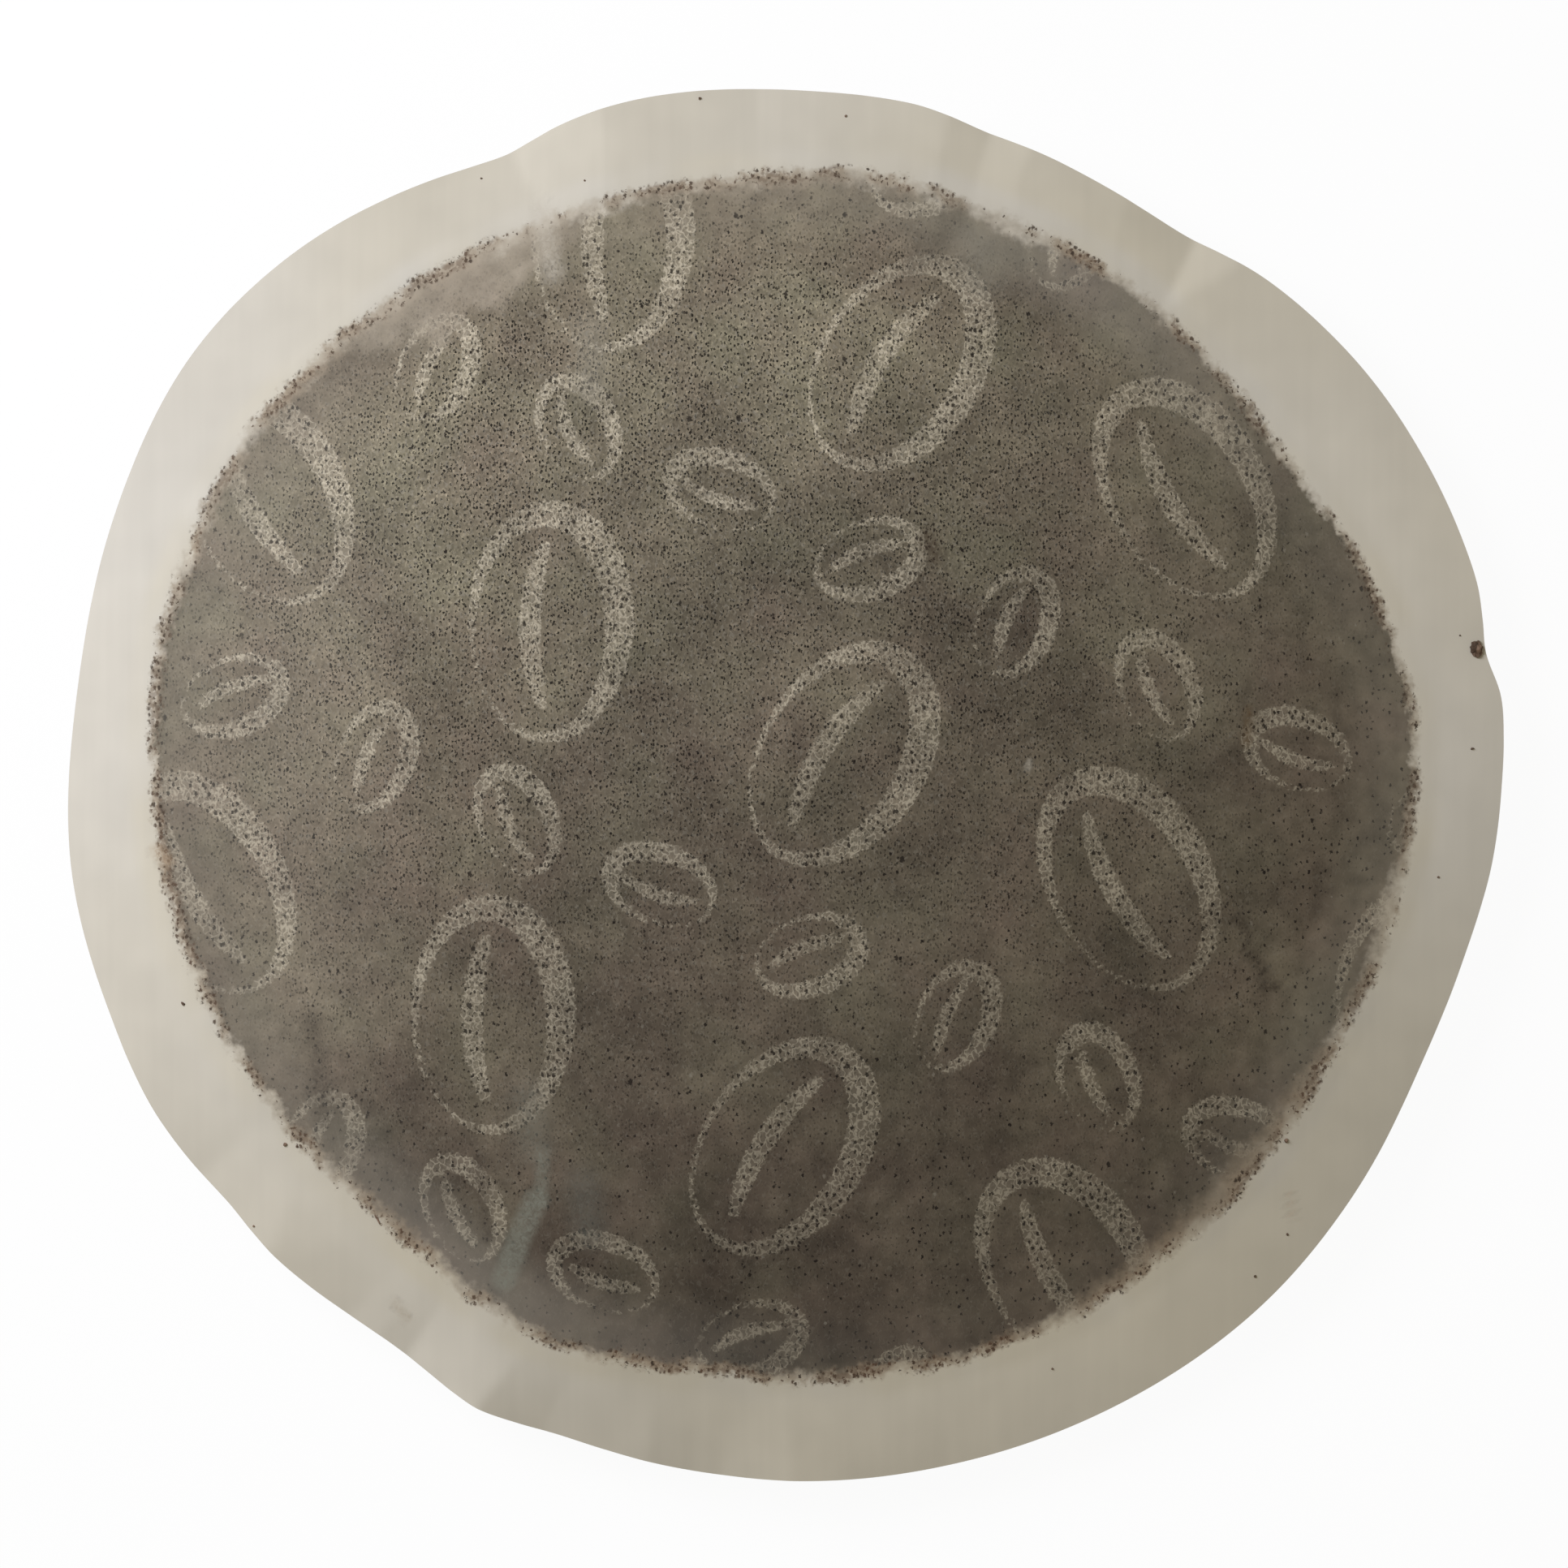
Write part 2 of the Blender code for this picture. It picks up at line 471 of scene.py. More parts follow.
# The folds of the rim, as the light shows them: each run fans out from where the coffee pinches the paper.
# A row says where a fold starts, where it leaves the rim and how high it stands there.
RIM_PLEATS = tuple(
    Pleats(tuple(FoldLine(*row) for row in run))
    for run in (
        (
            ((22.9, 20.2), (26.2, 23.6), 0.0),
            ((18.8, 23.6), (22.4, 25.7), 0.0),
            ((18.8, 23.6), (20.45, 26.9), -0.47),
            ((16.2, 25.8), (17.1, 29.2), -0.13),
            ((10.6, 27.2), (12.2, 31.4), 0.02),
            ((9.0, 28.0), (10.3, 32.5), -0.19),
            ((7.2, 28.4), (8.2, 33.2), 0.1),
            ((5.0, 28.8), (5.8, 34.0), 0.0),
        ),
        (
            ((1.4, 29.2), (1.9, 34.6), 0.0),
            ((-1.4, 29.3), (-1.3, 34.6), -0.15),
            ((-3.8, 29.3), (-4.4, 34.4), -0.02),
            ((-8.4, 28.6), (-9.1, 33.4), 0.04),
            ((-11.3, 27.2), (-13.3, 31.0), -0.57),
            ((-14.8, 25.6), (-18.4, 28.6), 0.0),
        ),
        (
            ((-28.2, -10.2), (-31.8, -12.6), 0.0),
            ((-25.6, -16.2), (-28.9, -19.4), -0.28),
            ((-23.6, -18.2), (-25.2, -22.3), 0.19),
            ((-18.8, -23.6), (-21.4, -26.2), -0.13),
            ((-17.4, -24.6), (-20.2, -27.4), -0.08),
            ((-16.6, -25.2), (-18.9, -28.6), -0.25),
            ((-12.6, -27.9), (-15.0, -30.7), 0.42),
            ((-10.4, -28.8), (-12.0, -32.2), -0.04),
            ((-8.4, -29.4), (-9.4, -33.2), 0.0),
        ),
        (
            ((-7.6, -29.6), (-8.6, -33.4), 0.0),
            ((-6.3, -29.9), (-6.9, -33.8), 0.06),
            ((-4.2, -30.2), (-4.7, -34.2), -0.08),
            ((-2.6, -30.3), (-3.0, -34.4), -0.08),
            ((0.32, -30.2), (0.36, -34.5), 0.3),
            ((6.8, -29.4), (8.0, -33.6), 0.0),
        ),
    )
)


@dataclass(frozen=True)
class Bean:
    """A printed coffee bean: a ring whose line swells, and one bowed line down its middle.

    Args:
        place: Its middle.
        length: How long it is.
        turn: How far it is turned from lying along X, in degrees.
        line: Half the mean width of its lines.
    """

    place: Place
    length: float
    turn: float
    line: float
    slimness: float = 0.66
    swell: float = 0.72
    swell_turn: float = 0.9
    bow: float = 0.07
    line_reach: float = 0.78
    line_ends: float = 0.2

    def depth_at(self, spots: Spots) -> np.ndarray:
        """How deep places lie inside the printed lines.

        Args:
            spots: The places.

        Returns:
            How far each lies from the edge of the nearest line, positive inside it.
        """
        angle = math.radians(self.turn)
        off_x, off_y = spots.x - self.place[0], spots.y - self.place[1]
        along = off_x * math.cos(angle) + off_y * math.sin(angle)
        across = off_y * math.cos(angle) - off_x * math.sin(angle)
        half_length = self.length / 2
        half_width = half_length * self.slimness
        level = np.hypot(along / half_length, across / half_width)
        steepness = np.hypot(along / half_length**2, across / half_width**2) / np.maximum(level, TINY)
        from_ring = np.abs(level - 1) / np.maximum(steepness, TINY)
        round_ring = np.arctan2(across / half_width, along / half_length)
        ring = self.line * (1 + self.swell * np.cos(round_ring + self.swell_turn)) - from_ring
        reach = along / (half_length * self.line_reach)
        bowed = self.bow * self.length * (1 - reach**2)
        taper = np.sqrt(np.clip(1 - reach**2, 0.0, None))
        middle_line = self.line * (self.line_ends + taper) - np.abs(across - bowed)
        return np.maximum(ring, np.where(np.abs(reach) < 1, middle_line, -self.length))


@dataclass(frozen=True)
class BeanPrint:
    """A generic print of beans, large and small, in slanting rows over the whole sheet."""

    row_slant: float = -24.0
    row_pitch: float = 9.4
    large_pitch: float = 15.6
    large_length: float = 11.0
    large_line: float = 0.46
    small_length: float = 5.2
    small_line: float = 0.3
    stagger: float = 5.2
    start: Place = (2.6, 1.4)
    reach: float = 36.0
    rows_each_way: int = 4
    columns_each_way: int = 5
    large_turn: float = 58.0
    large_turn_step: float = 31.0
    small_turn: float = 20.0
    small_turn_step: float = 47.0

    def beans(self) -> list[Bean]:
        """Lay the beans out: a row of large ones, then a row of small ones at half the pitch.

        Returns:
            The beans.
        """
        slant = math.radians(self.row_slant)
        beans = []
        for row in range(-self.rows_each_way, self.rows_each_way + 1):
            large = row % 2 == 0
            pitch = self.large_pitch if large else self.large_pitch / 2
            for column in range(-self.columns_each_way, self.columns_each_way + 1):
                along = column * pitch + row * self.stagger
                up = row * self.row_pitch
                x = self.start[0] + along * math.cos(slant) - up * math.sin(slant)
                y = self.start[1] + along * math.sin(slant) + up * math.cos(slant)
                if math.hypot(x, y) > self.reach:
                    continue
                if large:
                    turn = self.large_turn + self.large_turn_step * ((2 * column + row) % 3)
                    beans.append(Bean((x, y), self.large_length, turn, self.large_line))
                else:
                    turn = self.small_turn + self.small_turn_step * ((column + row) % 4)
                    beans.append(Bean((x, y), self.small_length, turn, self.small_line))
        return beans

    def depth_at(self, spots: Spots) -> np.ndarray:
        """How deep each place lies inside the print's lines, positive inside them."""
        return np.max([bean.depth_at(spots) for bean in self.beans()], axis=0)


class Wiring:
    """Adds and joins the nodes of one node tree."""

    def __init__(self, tree: bpy.types.NodeTree) -> None:
        """Start on a material's, a world's or a group's tree."""
        self.tree = tree

    def add(self, kind: str, inputs: dict[Any, Any] | None = None, **settings: Any) -> bpy.types.Node:
        """Add a node.

        Args:
            kind: The node's type.
            inputs: What its inputs get, by their names or numbers.
            settings: Its properties by name.

        Returns:
            The node.
        """
        node = self.tree.nodes.new(kind)
        for name, value in settings.items():
            setattr(node, name, value)
        for name, value in (inputs or {}).items():
            self.feed(node.inputs[name], value)
        return node

    def feed(self, socket: Socket, value: Any) -> None:
        """Link a socket into another, or set its value.

        Args:
            socket: The input.
            value: A socket, or else a number, a vector or a colour.
        """
        if isinstance(value, Socket):
            self.tree.links.new(value, socket)
        elif isinstance(value, tuple) and socket.type == "RGBA":
            socket.default_value = (*value, 1.0)
        else:
            socket.default_value = value

    def math(self, operation: str, *values: Any, clamp: bool = False) -> Socket:
        """Work out a number from others; with clamp it stays from 0 to 1."""
        inputs = dict(enumerate(values))
        return self.add("ShaderNodeMath", inputs, operation=operation, use_clamp=clamp).outputs[0]

    def total(self, *values: Any) -> Socket:
        """Add numbers up."""
        return reduce(partial(self.math, "ADD"), values)

    def product(self, *values: Any) -> Socket:
        """Multiply numbers."""
        return reduce(partial(self.math, "MULTIPLY"), values)

    def swing(self, value: Any, amount: float) -> Socket:
        """Turn a value about 0.5 into one about 0 that swings as far as the amount."""
        return self.product(self.math("SUBTRACT", value, 0.5), 2 * amount)

    def vector(self, operation: str, first: Any, second: Any) -> Socket:
        """Work out a vector; SCALE takes a vector and a number."""
        inputs = {0: first, "Scale" if operation == "SCALE" else 1: second}
        return self.add("ShaderNodeVectorMath", inputs, operation=operation).outputs[0]

    def step(self, value: Any, low: Any, high: Any, to_low: Any = 0.0, to_high: Any = 1.0) -> Socket:
        """Ease a value from one number at the low end to another at the high end.

        Args:
            value: What is eased.
            low: Where the step starts; it may lie above the high end.
            high: Where it ends.
            to_low: The result at the low end.
            to_high: The result at the high end.

        Returns:
            The result's socket.
        """
        names = ("Value", "From Min", "From Max", "To Min", "To Max")
        inputs = dict(zip(names, (value, low, high, to_low, to_high)))
        return self.add("ShaderNodeMapRange", inputs, interpolation_type="SMOOTHSTEP").outputs["Result"]

    def mix(self, amount: Any, first: Any, second: Any) -> Socket:
        """Mix two colours, which a Mix node takes at its inputs 6 and 7 and gives at its output 2."""
        inputs = {"Factor": amount, 6: first, 7: second}
        return self.add("ShaderNodeMix", inputs, data_type="RGBA").outputs[2]

    def brighten(self, colour: Any, factor: Any) -> Socket:
        """Multiply a colour by a number."""
        return self.vector("SCALE", colour, factor)

    def attribute(self, name: str) -> Socket:
        """Read a number that the mesh holds at each corner."""
        return self.add("ShaderNodeAttribute", attribute_name=name).outputs["Fac"]

    def swells(self, place: Socket, **inputs: Any) -> bpy.types.Node:
        """Add smooth noise over a sheet, with the noise node's inputs by name."""
        return self.add("ShaderNodeTexNoise", {"Vector": place, **inputs}, noise_dimensions="2D")

    def cells(self, place: Socket, scale: float = 1.0, dimensions: str = "2D") -> tuple[Socket, Any]:
        """Scatter cells.

        Args:
            place: The place.
            scale: How many cells go into a unit of it.
            dimensions: 2D over a sheet, or else 3D.

        Returns:
            How far the nearest cell's middle lies, and three random numbers of that cell: Red, Green, Blue.
        """
        inputs = {"Vector": place, "Scale": scale}
        cells = self.add("ShaderNodeTexVoronoi", inputs, voronoi_dimensions=dimensions, feature="F1")
        chance = self.add("ShaderNodeSeparateColor", {"Color": cells.outputs["Color"]})
        return cells.outputs["Distance"], chance.outputs


def new_group(name: str, numbers: Sequence[str], outputs: Sequence[str]) -> tuple[Wiring, Any, Any]:
    """Start a shader node group that takes a place and some numbers and gives numbers.

    Args:
        name: The group's name.
        numbers: The name of each input after the place.
        outputs: The name of each output.

    Returns:
        The wiring of its tree, its input node's sockets and its output node's sockets.
    """
    tree = bpy.data.node_groups.new(name, "ShaderNodeTree")
    tree.interface.new_socket("Place", in_out="INPUT", socket_type="NodeSocketVector")
    for way, labels in (("INPUT", numbers), ("OUTPUT", outputs)):
        for label in labels:
            tree.interface.new_socket(label, in_out=way, socket_type="NodeSocketFloat")
    wiring = Wiring(tree)
    return wiring, wiring.add("NodeGroupInput").outputs, wiring.add("NodeGroupOutput").inputs


class Patterns:
    """The shader node groups that the finishes share: clouds, grit, specks and fibres."""

    def __init__(self) -> None:
        """Build each group once."""
        self.clouds = self.build_clouds()
        self.grit = self.build_grit()
        self.specks = self.build_specks()
        self.fibres = self.build_fibres()

    @staticmethod
    def build_clouds() -> bpy.types.NodeTree:
        """Soft mottling: a value about 0.5 in swells of a given size.

        Returns:
            The group.
        """
        wiring, given, result = new_group("clouds", ("Size", "Detail"), ("Value",))
        place = wiring.vector("DIVIDE", given["Place"], given["Size"])
        swells = wiring.swells(place, Scale=1.0, Detail=given["Detail"], Roughness=0.55)
        wiring.feed(result["Value"], wiring.math("MULTIPLY_ADD", swells.outputs["Fac"], 1.8, -0.4))
        return wiring.tree

    @staticmethod
    def build_grit() -> bpy.types.NodeTree:
        """Salt and pepper: small dark spots in paler rings, between pale specks, about 0 on the whole.

        Returns:
            The group.
        """
        wiring, given, result = new_group("grit", ("Size",), ("Value",))
        upright = wiring.vector("MULTIPLY", given["Place"], (1.0, 0.62, 1.0))
        place = wiring.vector("DIVIDE", upright, given["Size"])
        _, chance = wiring.cells(place)
        distance, weight = wiring.cells(place, 0.48)
        spot = wiring.step(distance, 0.42, 0.1, 0.0, -1.9)
        ring = wiring.step(distance, 0.9, 0.3, 0.0, 0.5)
        spot = wiring.product(wiring.total(spot, ring), wiring.step(weight["Red"], 0.15, 0.6))
        pale = wiring.step(chance["Green"], 0.84, 1.0, 0.0, 0.6)
        wiring.feed(result["Value"], wiring.total(spot, pale, wiring.swing(chance["Blue"], 0.2)))
        return wiring.tree

    @staticmethod
    def build_specks() -> bpy.types.NodeTree:
        """Separate specks on a sheet, each with a size, a tone and a chance of its own.

        Returns:
            The group.
        """
        wiring, given, result = new_group(
            "specks", ("Spacing", "Radius", "Presence", "Blur"), ("Mask", "Tone")
        )
        upright = wiring.vector("MULTIPLY", given["Place"], (1.0, 0.72, 1.0))
        distance, chance = wiring.cells(wiring.vector("DIVIDE", upright, given["Spacing"]))
        distance = wiring.product(distance, given["Spacing"])
        radius = wiring.product(given["Radius"], wiring.total(chance["Green"], 0.5))
        outer = wiring.total(radius, given["Blur"])
        inner = wiring.math("SUBTRACT", radius, given["Blur"])
        present = wiring.math("LESS_THAN", chance["Red"], given["Presence"])
        wiring.feed(result["Mask"], wiring.product(wiring.step(distance, outer, inner), present))
        wiring.feed(result["Tone"], chance["Blue"])
        return wiring.tree

    @staticmethod
    def build_fibres() -> bpy.types.NodeTree:
        """Short upright fibres; a bent place makes them curl.

        Returns:
            The group.
        """
        wiring, given, result = new_group("fibres", ("Length", "Width", "Presence"), ("Mask",))
        size = wiring.add("ShaderNodeCombineXYZ", {"X": given["Width"], "Y": given["Length"], "Z": 1.0})
        place = wiring.vector("DIVIDE", given["Place"], size.outputs["Vector"])
        streak = wiring.swells(place, Scale=1.0, Detail=0.0).outputs["Fac"]
        level = wiring.math("MULTIPLY_ADD", given["Presence"], -0.35, 0.78)
        wiring.feed(result["Mask"], wiring.step(streak, level, wiring.total(level, 0.09)))
        return wiring.tree


class Finish(Wiring):
    """A material that is being made."""

    def __init__(self, name: str) -> None:
        """Start the material, with the place on its piece in millimetres.

        Args:
            name: The material's name.
        """
        self.made = bpy.data.materials.new(name)
        self.made.use_nodes = True
        super().__init__(self.made.node_tree)
        self.place = self.vector("SCALE", self.add("ShaderNodeTexCoord").outputs["Object"], 1 / MM)

    def finished(self, inputs: dict[str, Any]) -> bpy.types.Material:
        """Feed the surface.

        Args:
            inputs: What its inputs get, by their names.

        Returns:
            The material.
        """
        surface = self.tree.nodes["Principled BSDF"]
        for name, value in inputs.items():
            self.feed(surface.inputs[name], value)
        return self.made


class PaperFinish(Finish):
    """Filter paper, unglazed and unbleached, with the coffee showing through it where it is pressed on.

    The mesh of a sheet says at each corner what changes slowly over it: how far inside the coffee's
    wandering edge it is (edge), how gently the coffee fades out there (softness), how far the paper stands
    off the coffee (haze) or is veiled, more on the left as painted light (veil), how pale it is painted,
    painted light and shade included (tone), how brown it looks (warmth), how strongly its grit shows as
    painted light and shade where the light grazes it (grit_in_grazing_light), how thickly grains lie (crowd),
    how deep it lies inside the print (print_depth), and the colour and strength of the stains and the
    painted sheen (stain).
    """

    CREAM: Colour = (0.549, 0.527, 0.46)
    CREAM_WARM: Colour = (0.537, 0.501, 0.399)
    GREEN_GREY: Colour = (0.121, 0.109, 0.075)
    RED_BROWN: Colour = (0.113, 0.09, 0.067)
    SPECK: Colour = (0.012, 0.009, 0.007)
    PALE_SPECK: Colour = (0.24, 0.222, 0.18)
    CRUMB_GREY: Colour = (0.115, 0.09, 0.066)
    CRUMB_RED: Colour = (0.1, 0.058, 0.036)
    CRUMB_DARK: Colour = (0.042, 0.031, 0.022)
    TAN_GREY: Colour = (0.3, 0.262, 0.198)
    TAN_WARM: Colour = (0.275, 0.218, 0.152)
    LIFTED: Colour = (0.355, 0.312, 0.243)
    VEIL: Colour = (0.34, 0.32, 0.275)
    PRINT_PALE: Colour = (0.385, 0.348, 0.265)
    ROUGHNESS: float = 0.84
    SHINE: float = 0.1

    def __init__(self, patterns: Patterns, printed: bool) -> None:
        """Start the finish.

        Args:
            patterns: The node groups that it is made with.
            printed: Whether it has the print, the stains and the painted sheen of the upper paper.
        """
        super().__init__("printed_filter_paper" if printed else "plain_filter_paper")
        self.patterns = patterns
        self.printed = printed
        self.ragged = self.shifted(scale=12.0, shift=0.12)
        self.curled = self.shifted(scale=4.5, shift=0.3)
        self.edge = self.attribute("edge")
        self.tone = self.attribute("tone")
        self.grit_in_grazing_light = self.attribute("grit_in_grazing_light")
        self.crowd = self.attribute("crowd")
        self.warmth = self.math("MULTIPLY", self.attribute("warmth"), 1.0, clamp=True)

    def build(self) -> bpy.types.Material:
        """Lay rim, bed, crumbs, and stains with painted sheen and highlights, over one another.

        Returns:
            The material.
        """
        colour = self.add_crumbs(self.edge_colour(self.rim_colour(), self.bed_colour()))
        if self.printed:
            colour = self.add_stains_and_painted_light(colour)
        return self.finished(
            {"Base Color": colour, "Roughness": self.ROUGHNESS, "Specular IOR Level": self.SHINE}
        )

    def shifted(self, scale: float, shift: float) -> Socket:
        """The place pushed about by noise, which makes round things ragged and straight things curl.

        Args:
            scale: How many swells of the noise go into a millimetre.
            shift: How far it pushes.

        Returns:
            The shifted place's socket.
        """
        rough = self.swells(self.place, Scale=scale, Detail=0.0).outputs["Color"]
        push = self.vector("SUBTRACT", rough, (0.5, 0.5, 0.5))
        return self.vector("ADD", self.place, self.vector("SCALE", push, shift))

    def group(self, tree: bpy.types.NodeTree, **inputs: Any) -> Any:
        """Place one of the patterns, with its inputs by name, and return its outputs."""
        return self.add("ShaderNodeGroup", inputs, node_tree=tree).outputs

    def clouds(self, place: Socket, size: float, detail: float = 1.0) -> Socket:
        """Soft mottling about 0.5, in swells of a size."""
        return self.group(self.patterns.clouds, Place=place, Size=size, Detail=detail)["Value"]

    def specks(self, spacing: float, radius: Any, presence: Any, blur: float) -> Any:
        """Ragged specks.

        Args:
            spacing: How far apart they lie.
            radius: Their mean radius.
            presence: Which share of them is there.
            blur: How soft their edges are.

        Returns:
            Their Mask and their Tone.
        """
        inputs = {"Spacing": spacing, "Radius": radius, "Presence": presence, "Blur": blur}
        return self.group(self.patterns.specks, Place=self.ragged, **inputs)

    def rim_colour(self) -> Socket:
        """The bare paper: cream, with faint lines that run with the web that it was cut from.

        Returns:
            The colour's socket.
        """
        web = self.vector("MULTIPLY", self.place, (1.0, 0.06, 1.0))
        lines = self.total(self.swing(self.clouds(web, 0.55), 0.012), 1.0)
        return self.brighten(
            self.mix(self.warmth, self.CREAM, self.CREAM_WARM), self.product(lines, self.tone)
        )

    def bed_colour(self) -> Socket:
        """The paper on the coffee: clouded grey brown, gritty, printed, with dark grains and pale fibres.

        Returns:
            The colour's socket.
        """
        mottle = self.swing(self.clouds(self.place, 1.0), 1.0)
        # The grit and the pale flecks are painted stronger, and the mottle weaker, where the light grazes the
        # paper: painted light and shade of its relief.
        mottle = self.product(mottle, self.math("MULTIPLY_ADD", self.grit_in_grazing_light, -0.07, 0.19))
        grit = self.group(self.patterns.grit, Place=self.ragged, Size=0.078)["Value"]
        tone = self.total(1.0, mottle, self.product(grit, self.grit_in_grazing_light))
        tone = self.product(self.math("MAXIMUM", tone, 0.08), self.tone)
        colour = self.brighten(self.mix(self.warmth, self.GREEN_GREY, self.RED_BROWN), tone)
        flecks = self.group(self.patterns.fibres, Place=self.curled, Length=0.34, Width=0.08, Presence=0.4)
        amount = self.product(flecks["Mask"], self.math("MULTIPLY_ADD", self.grit_in_grazing_light, 0.3, 0.1))
        colour = self.mix(amount, colour, self.PALE_SPECK)
        line = 0.0
        if self.printed:
            line, colour = self.add_print(colour, tone)
        shown = self.math("MULTIPLY_ADD", line, 0.46, self.step(self.crowd, 0.15, 1.0, 0.02, 0.6))
        radius = self.math("MULTIPLY_ADD", line, 0.016, 0.041)
        small = self.specks(spacing=0.3, radius=radius, presence=shown, blur=0.011)
        grains = self.specks(spacing=0.6, radius=0.048, presence=0.5, blur=0.012)
        large = self.specks(spacing=2.6, radius=0.08, presence=0.2, blur=0.02)
        dark = self.product(self.math("MAXIMUM", small["Mask"], large["Mask"]), 0.85)
        dark_grains = self.product(grains["Mask"], self.step(grains["Tone"], 0.75, 0.3, 0.0, 0.95))
        pale_grains = self.product(grains["Mask"], self.step(grains["Tone"], 0.75, 1.0, 0.0, 0.5))
        colour = self.mix(self.math("MAXIMUM", dark, dark_grains), colour, self.SPECK)
        return self.mix(pale_grains, colour, self.PALE_SPECK)

    def add_print(self, colour: Socket, tone: Socket) -> tuple[Socket, Socket]:
        """Lay the print over the coffee: a pale film, with a paler net of fibres in it.

        Args:
            colour: The colour so far.
            tone: How pale the paper is.

        Returns:
            The mask of the printed lines and the colour's socket.
        """
        ragged = self.clouds(self.place, 0.24)
        depth = self.total(self.attribute("print_depth"), self.swing(ragged, 0.1))
        line = self.step(depth, -0.03, 0.05)
        upright = self.vector("MULTIPLY", self.curled, (1.0, 0.7, 1.0))
        holes = self.add(
            "ShaderNodeTexVoronoi",
            {"Vector": upright, "Scale": 3.5},
            voronoi_dimensions="2D",
            feature="DISTANCE_TO_EDGE",
        )
        from_hole = self.total(holes.outputs["Distance"], self.swing(ragged, 0.06))
        net = self.step(from_hole, 0.19, 0.03, 0.24, 1.0)
        uncrowded = self.step(self.crowd, 1.0, 0.0, 0.6, 1.0)
        # The print is painted crisper where the light grazes the paper.
        print_in_grazing_light = self.math("MULTIPLY_ADD", self.grit_in_grazing_light, 0.14, 0.72, clamp=True)
        shade = self.math("MULTIPLY_ADD", tone, 0.4, 0.62)
        amount = self.product(line, net, uncrowded, print_in_grazing_light)
        return line, self.mix(amount, colour, self.brighten(self.PRINT_PALE, shade))

    def edge_colour(self, rim: Socket, bed: Socket) -> Socket:
        """Join rim and bed: a tan stain inside the coffee's edge, and paper that stands off the coffee.

        Args:
            rim: The bare paper's colour.
            bed: The colour over the coffee.

        Returns:
            The colour's socket.
        """
        fine = self.clouds(self.place, 0.42, 2.0)
        rough = self.total(self.edge, self.swing(fine, 0.22))
        cover = self.step(rough, 0.1, self.total(self.attribute("softness"), 0.15))
        stain = self.product(self.step(rough, -0.3, 0.25), self.step(self.crowd, 0.1, 0.8, 0.45, 0.95))
        rim = self.mix(stain, rim, self.mix(self.warmth, self.TAN_GREY, self.TAN_WARM))
        bed = self.mix(self.attribute("veil"), bed, self.VEIL)
        haze = self.math("MULTIPLY_ADD", fine, 0.36, 0.7, clamp=True)
        haze = self.product(haze, self.attribute("haze"))
        return self.mix(haze, self.mix(cover, rim, bed), self.LIFTED)

    def add_crumbs(self, colour: Socket) -> Socket:
        """Lay a wandering chain of crumbs along the coffee's edge: smudges with small grains in them.

        Args:
            colour: The colour so far.

        Returns:
            The colour's socket.
        """
        crumb = self.mix(self.warmth, self.CRUMB_GREY, self.CRUMB_RED)
        thick = self.total(self.crowd, self.swing(self.clouds(self.place, 0.24, 2.0), 0.7))
        smudge = self.product(self.step(thick, 0.65, 1.1, 0.0, 0.45), self.band(-0.25, 0.05, 0.3, 0.65))
        colour = self.mix(smudge, colour, crumb)
        shown = self.step(thick, 0.3, 1.0, 0.02, 0.92)
        grains = self.specks(spacing=0.235, radius=0.062, presence=shown, blur=0.026)
        amount = self.product(grains["Mask"], self.band(-0.35, -0.1, 0.4, 0.75), 0.9)
        return self.mix(amount, colour, self.mix(grains["Tone"], crumb, self.CRUMB_DARK))

    def band(self, start: float, full_from: float, full_to: float, end: float) -> Socket:
        """A band along the coffee's edge, given by how far inside it the band starts, is full and ends."""
        return self.product(self.step(self.edge, start, full_from), self.step(self.edge, end, full_to))

    def add_stains_and_painted_light(self, colour: Socket) -> Socket:
        """Lay the stains, and the painted sheen and highlights, over the paper, a little broken.

        Args:
            colour: The colour so far.

        Returns:
            The colour's socket.
        """
        # The stain attribute holds the stains and the painted sheen and highlights.
        stain = self.add("ShaderNodeAttribute", attribute_name="stain").outputs
        broken = self.total(self.swing(self.clouds(self.curled, 0.2, 2.0), 0.55), 1.0)
        cover = self.math("MULTIPLY", stain["Alpha"], broken, clamp=True)
        return self.mix(cover, colour, stain["Color"])


class GroundsFinish(Finish):
    """Ground roast coffee, dark and matt, each grain a little lighter or darker than the next."""

    CHAFF: Colour = (0.24, 0.17, 0.1)
    CHAFF_SHARE: float = 0.05
    CHAFF_STRENGTH: float = 0.7
    GRAINS_PER_MM: float = 2.4
    ROUGHNESS: float = 0.72
    SHINE: float = 0.3
    RELIEF: float = 0.12

    def build(self, dark: Colour, light: Colour) -> bpy.types.Material:
        """Build the finish.

        Args:
            dark: The darkest grains' colour.
            light: The lightest grains' colour.

        Returns:
            The material.
        """
        distance, chance = self.cells(self.place, self.GRAINS_PER_MM, "3D")
        flake = self.math("GREATER_THAN", chance["Green"], 1 - self.CHAFF_SHARE)
        flake = self.product(flake, self.CHAFF_STRENGTH)
        colour = self.mix(flake, self.mix(chance["Red"], dark, light), self.CHAFF)
        height = self.math("SUBTRACT", 1.0, distance)
        bump = self.add("ShaderNodeBump", {"Strength": 1.0, "Distance": self.RELIEF * MM, "Height": height})
        return self.finished({
            "Base Color": colour,
            "Roughness": self.ROUGHNESS,
            "Specular IOR Level": self.SHINE,
            "Normal": bump.outputs["Normal"],
        })


class Side(Enum):
    """Which of the two papers a sheet is."""

    UPPER = "upper_paper"
    LOWER = "lower_paper"


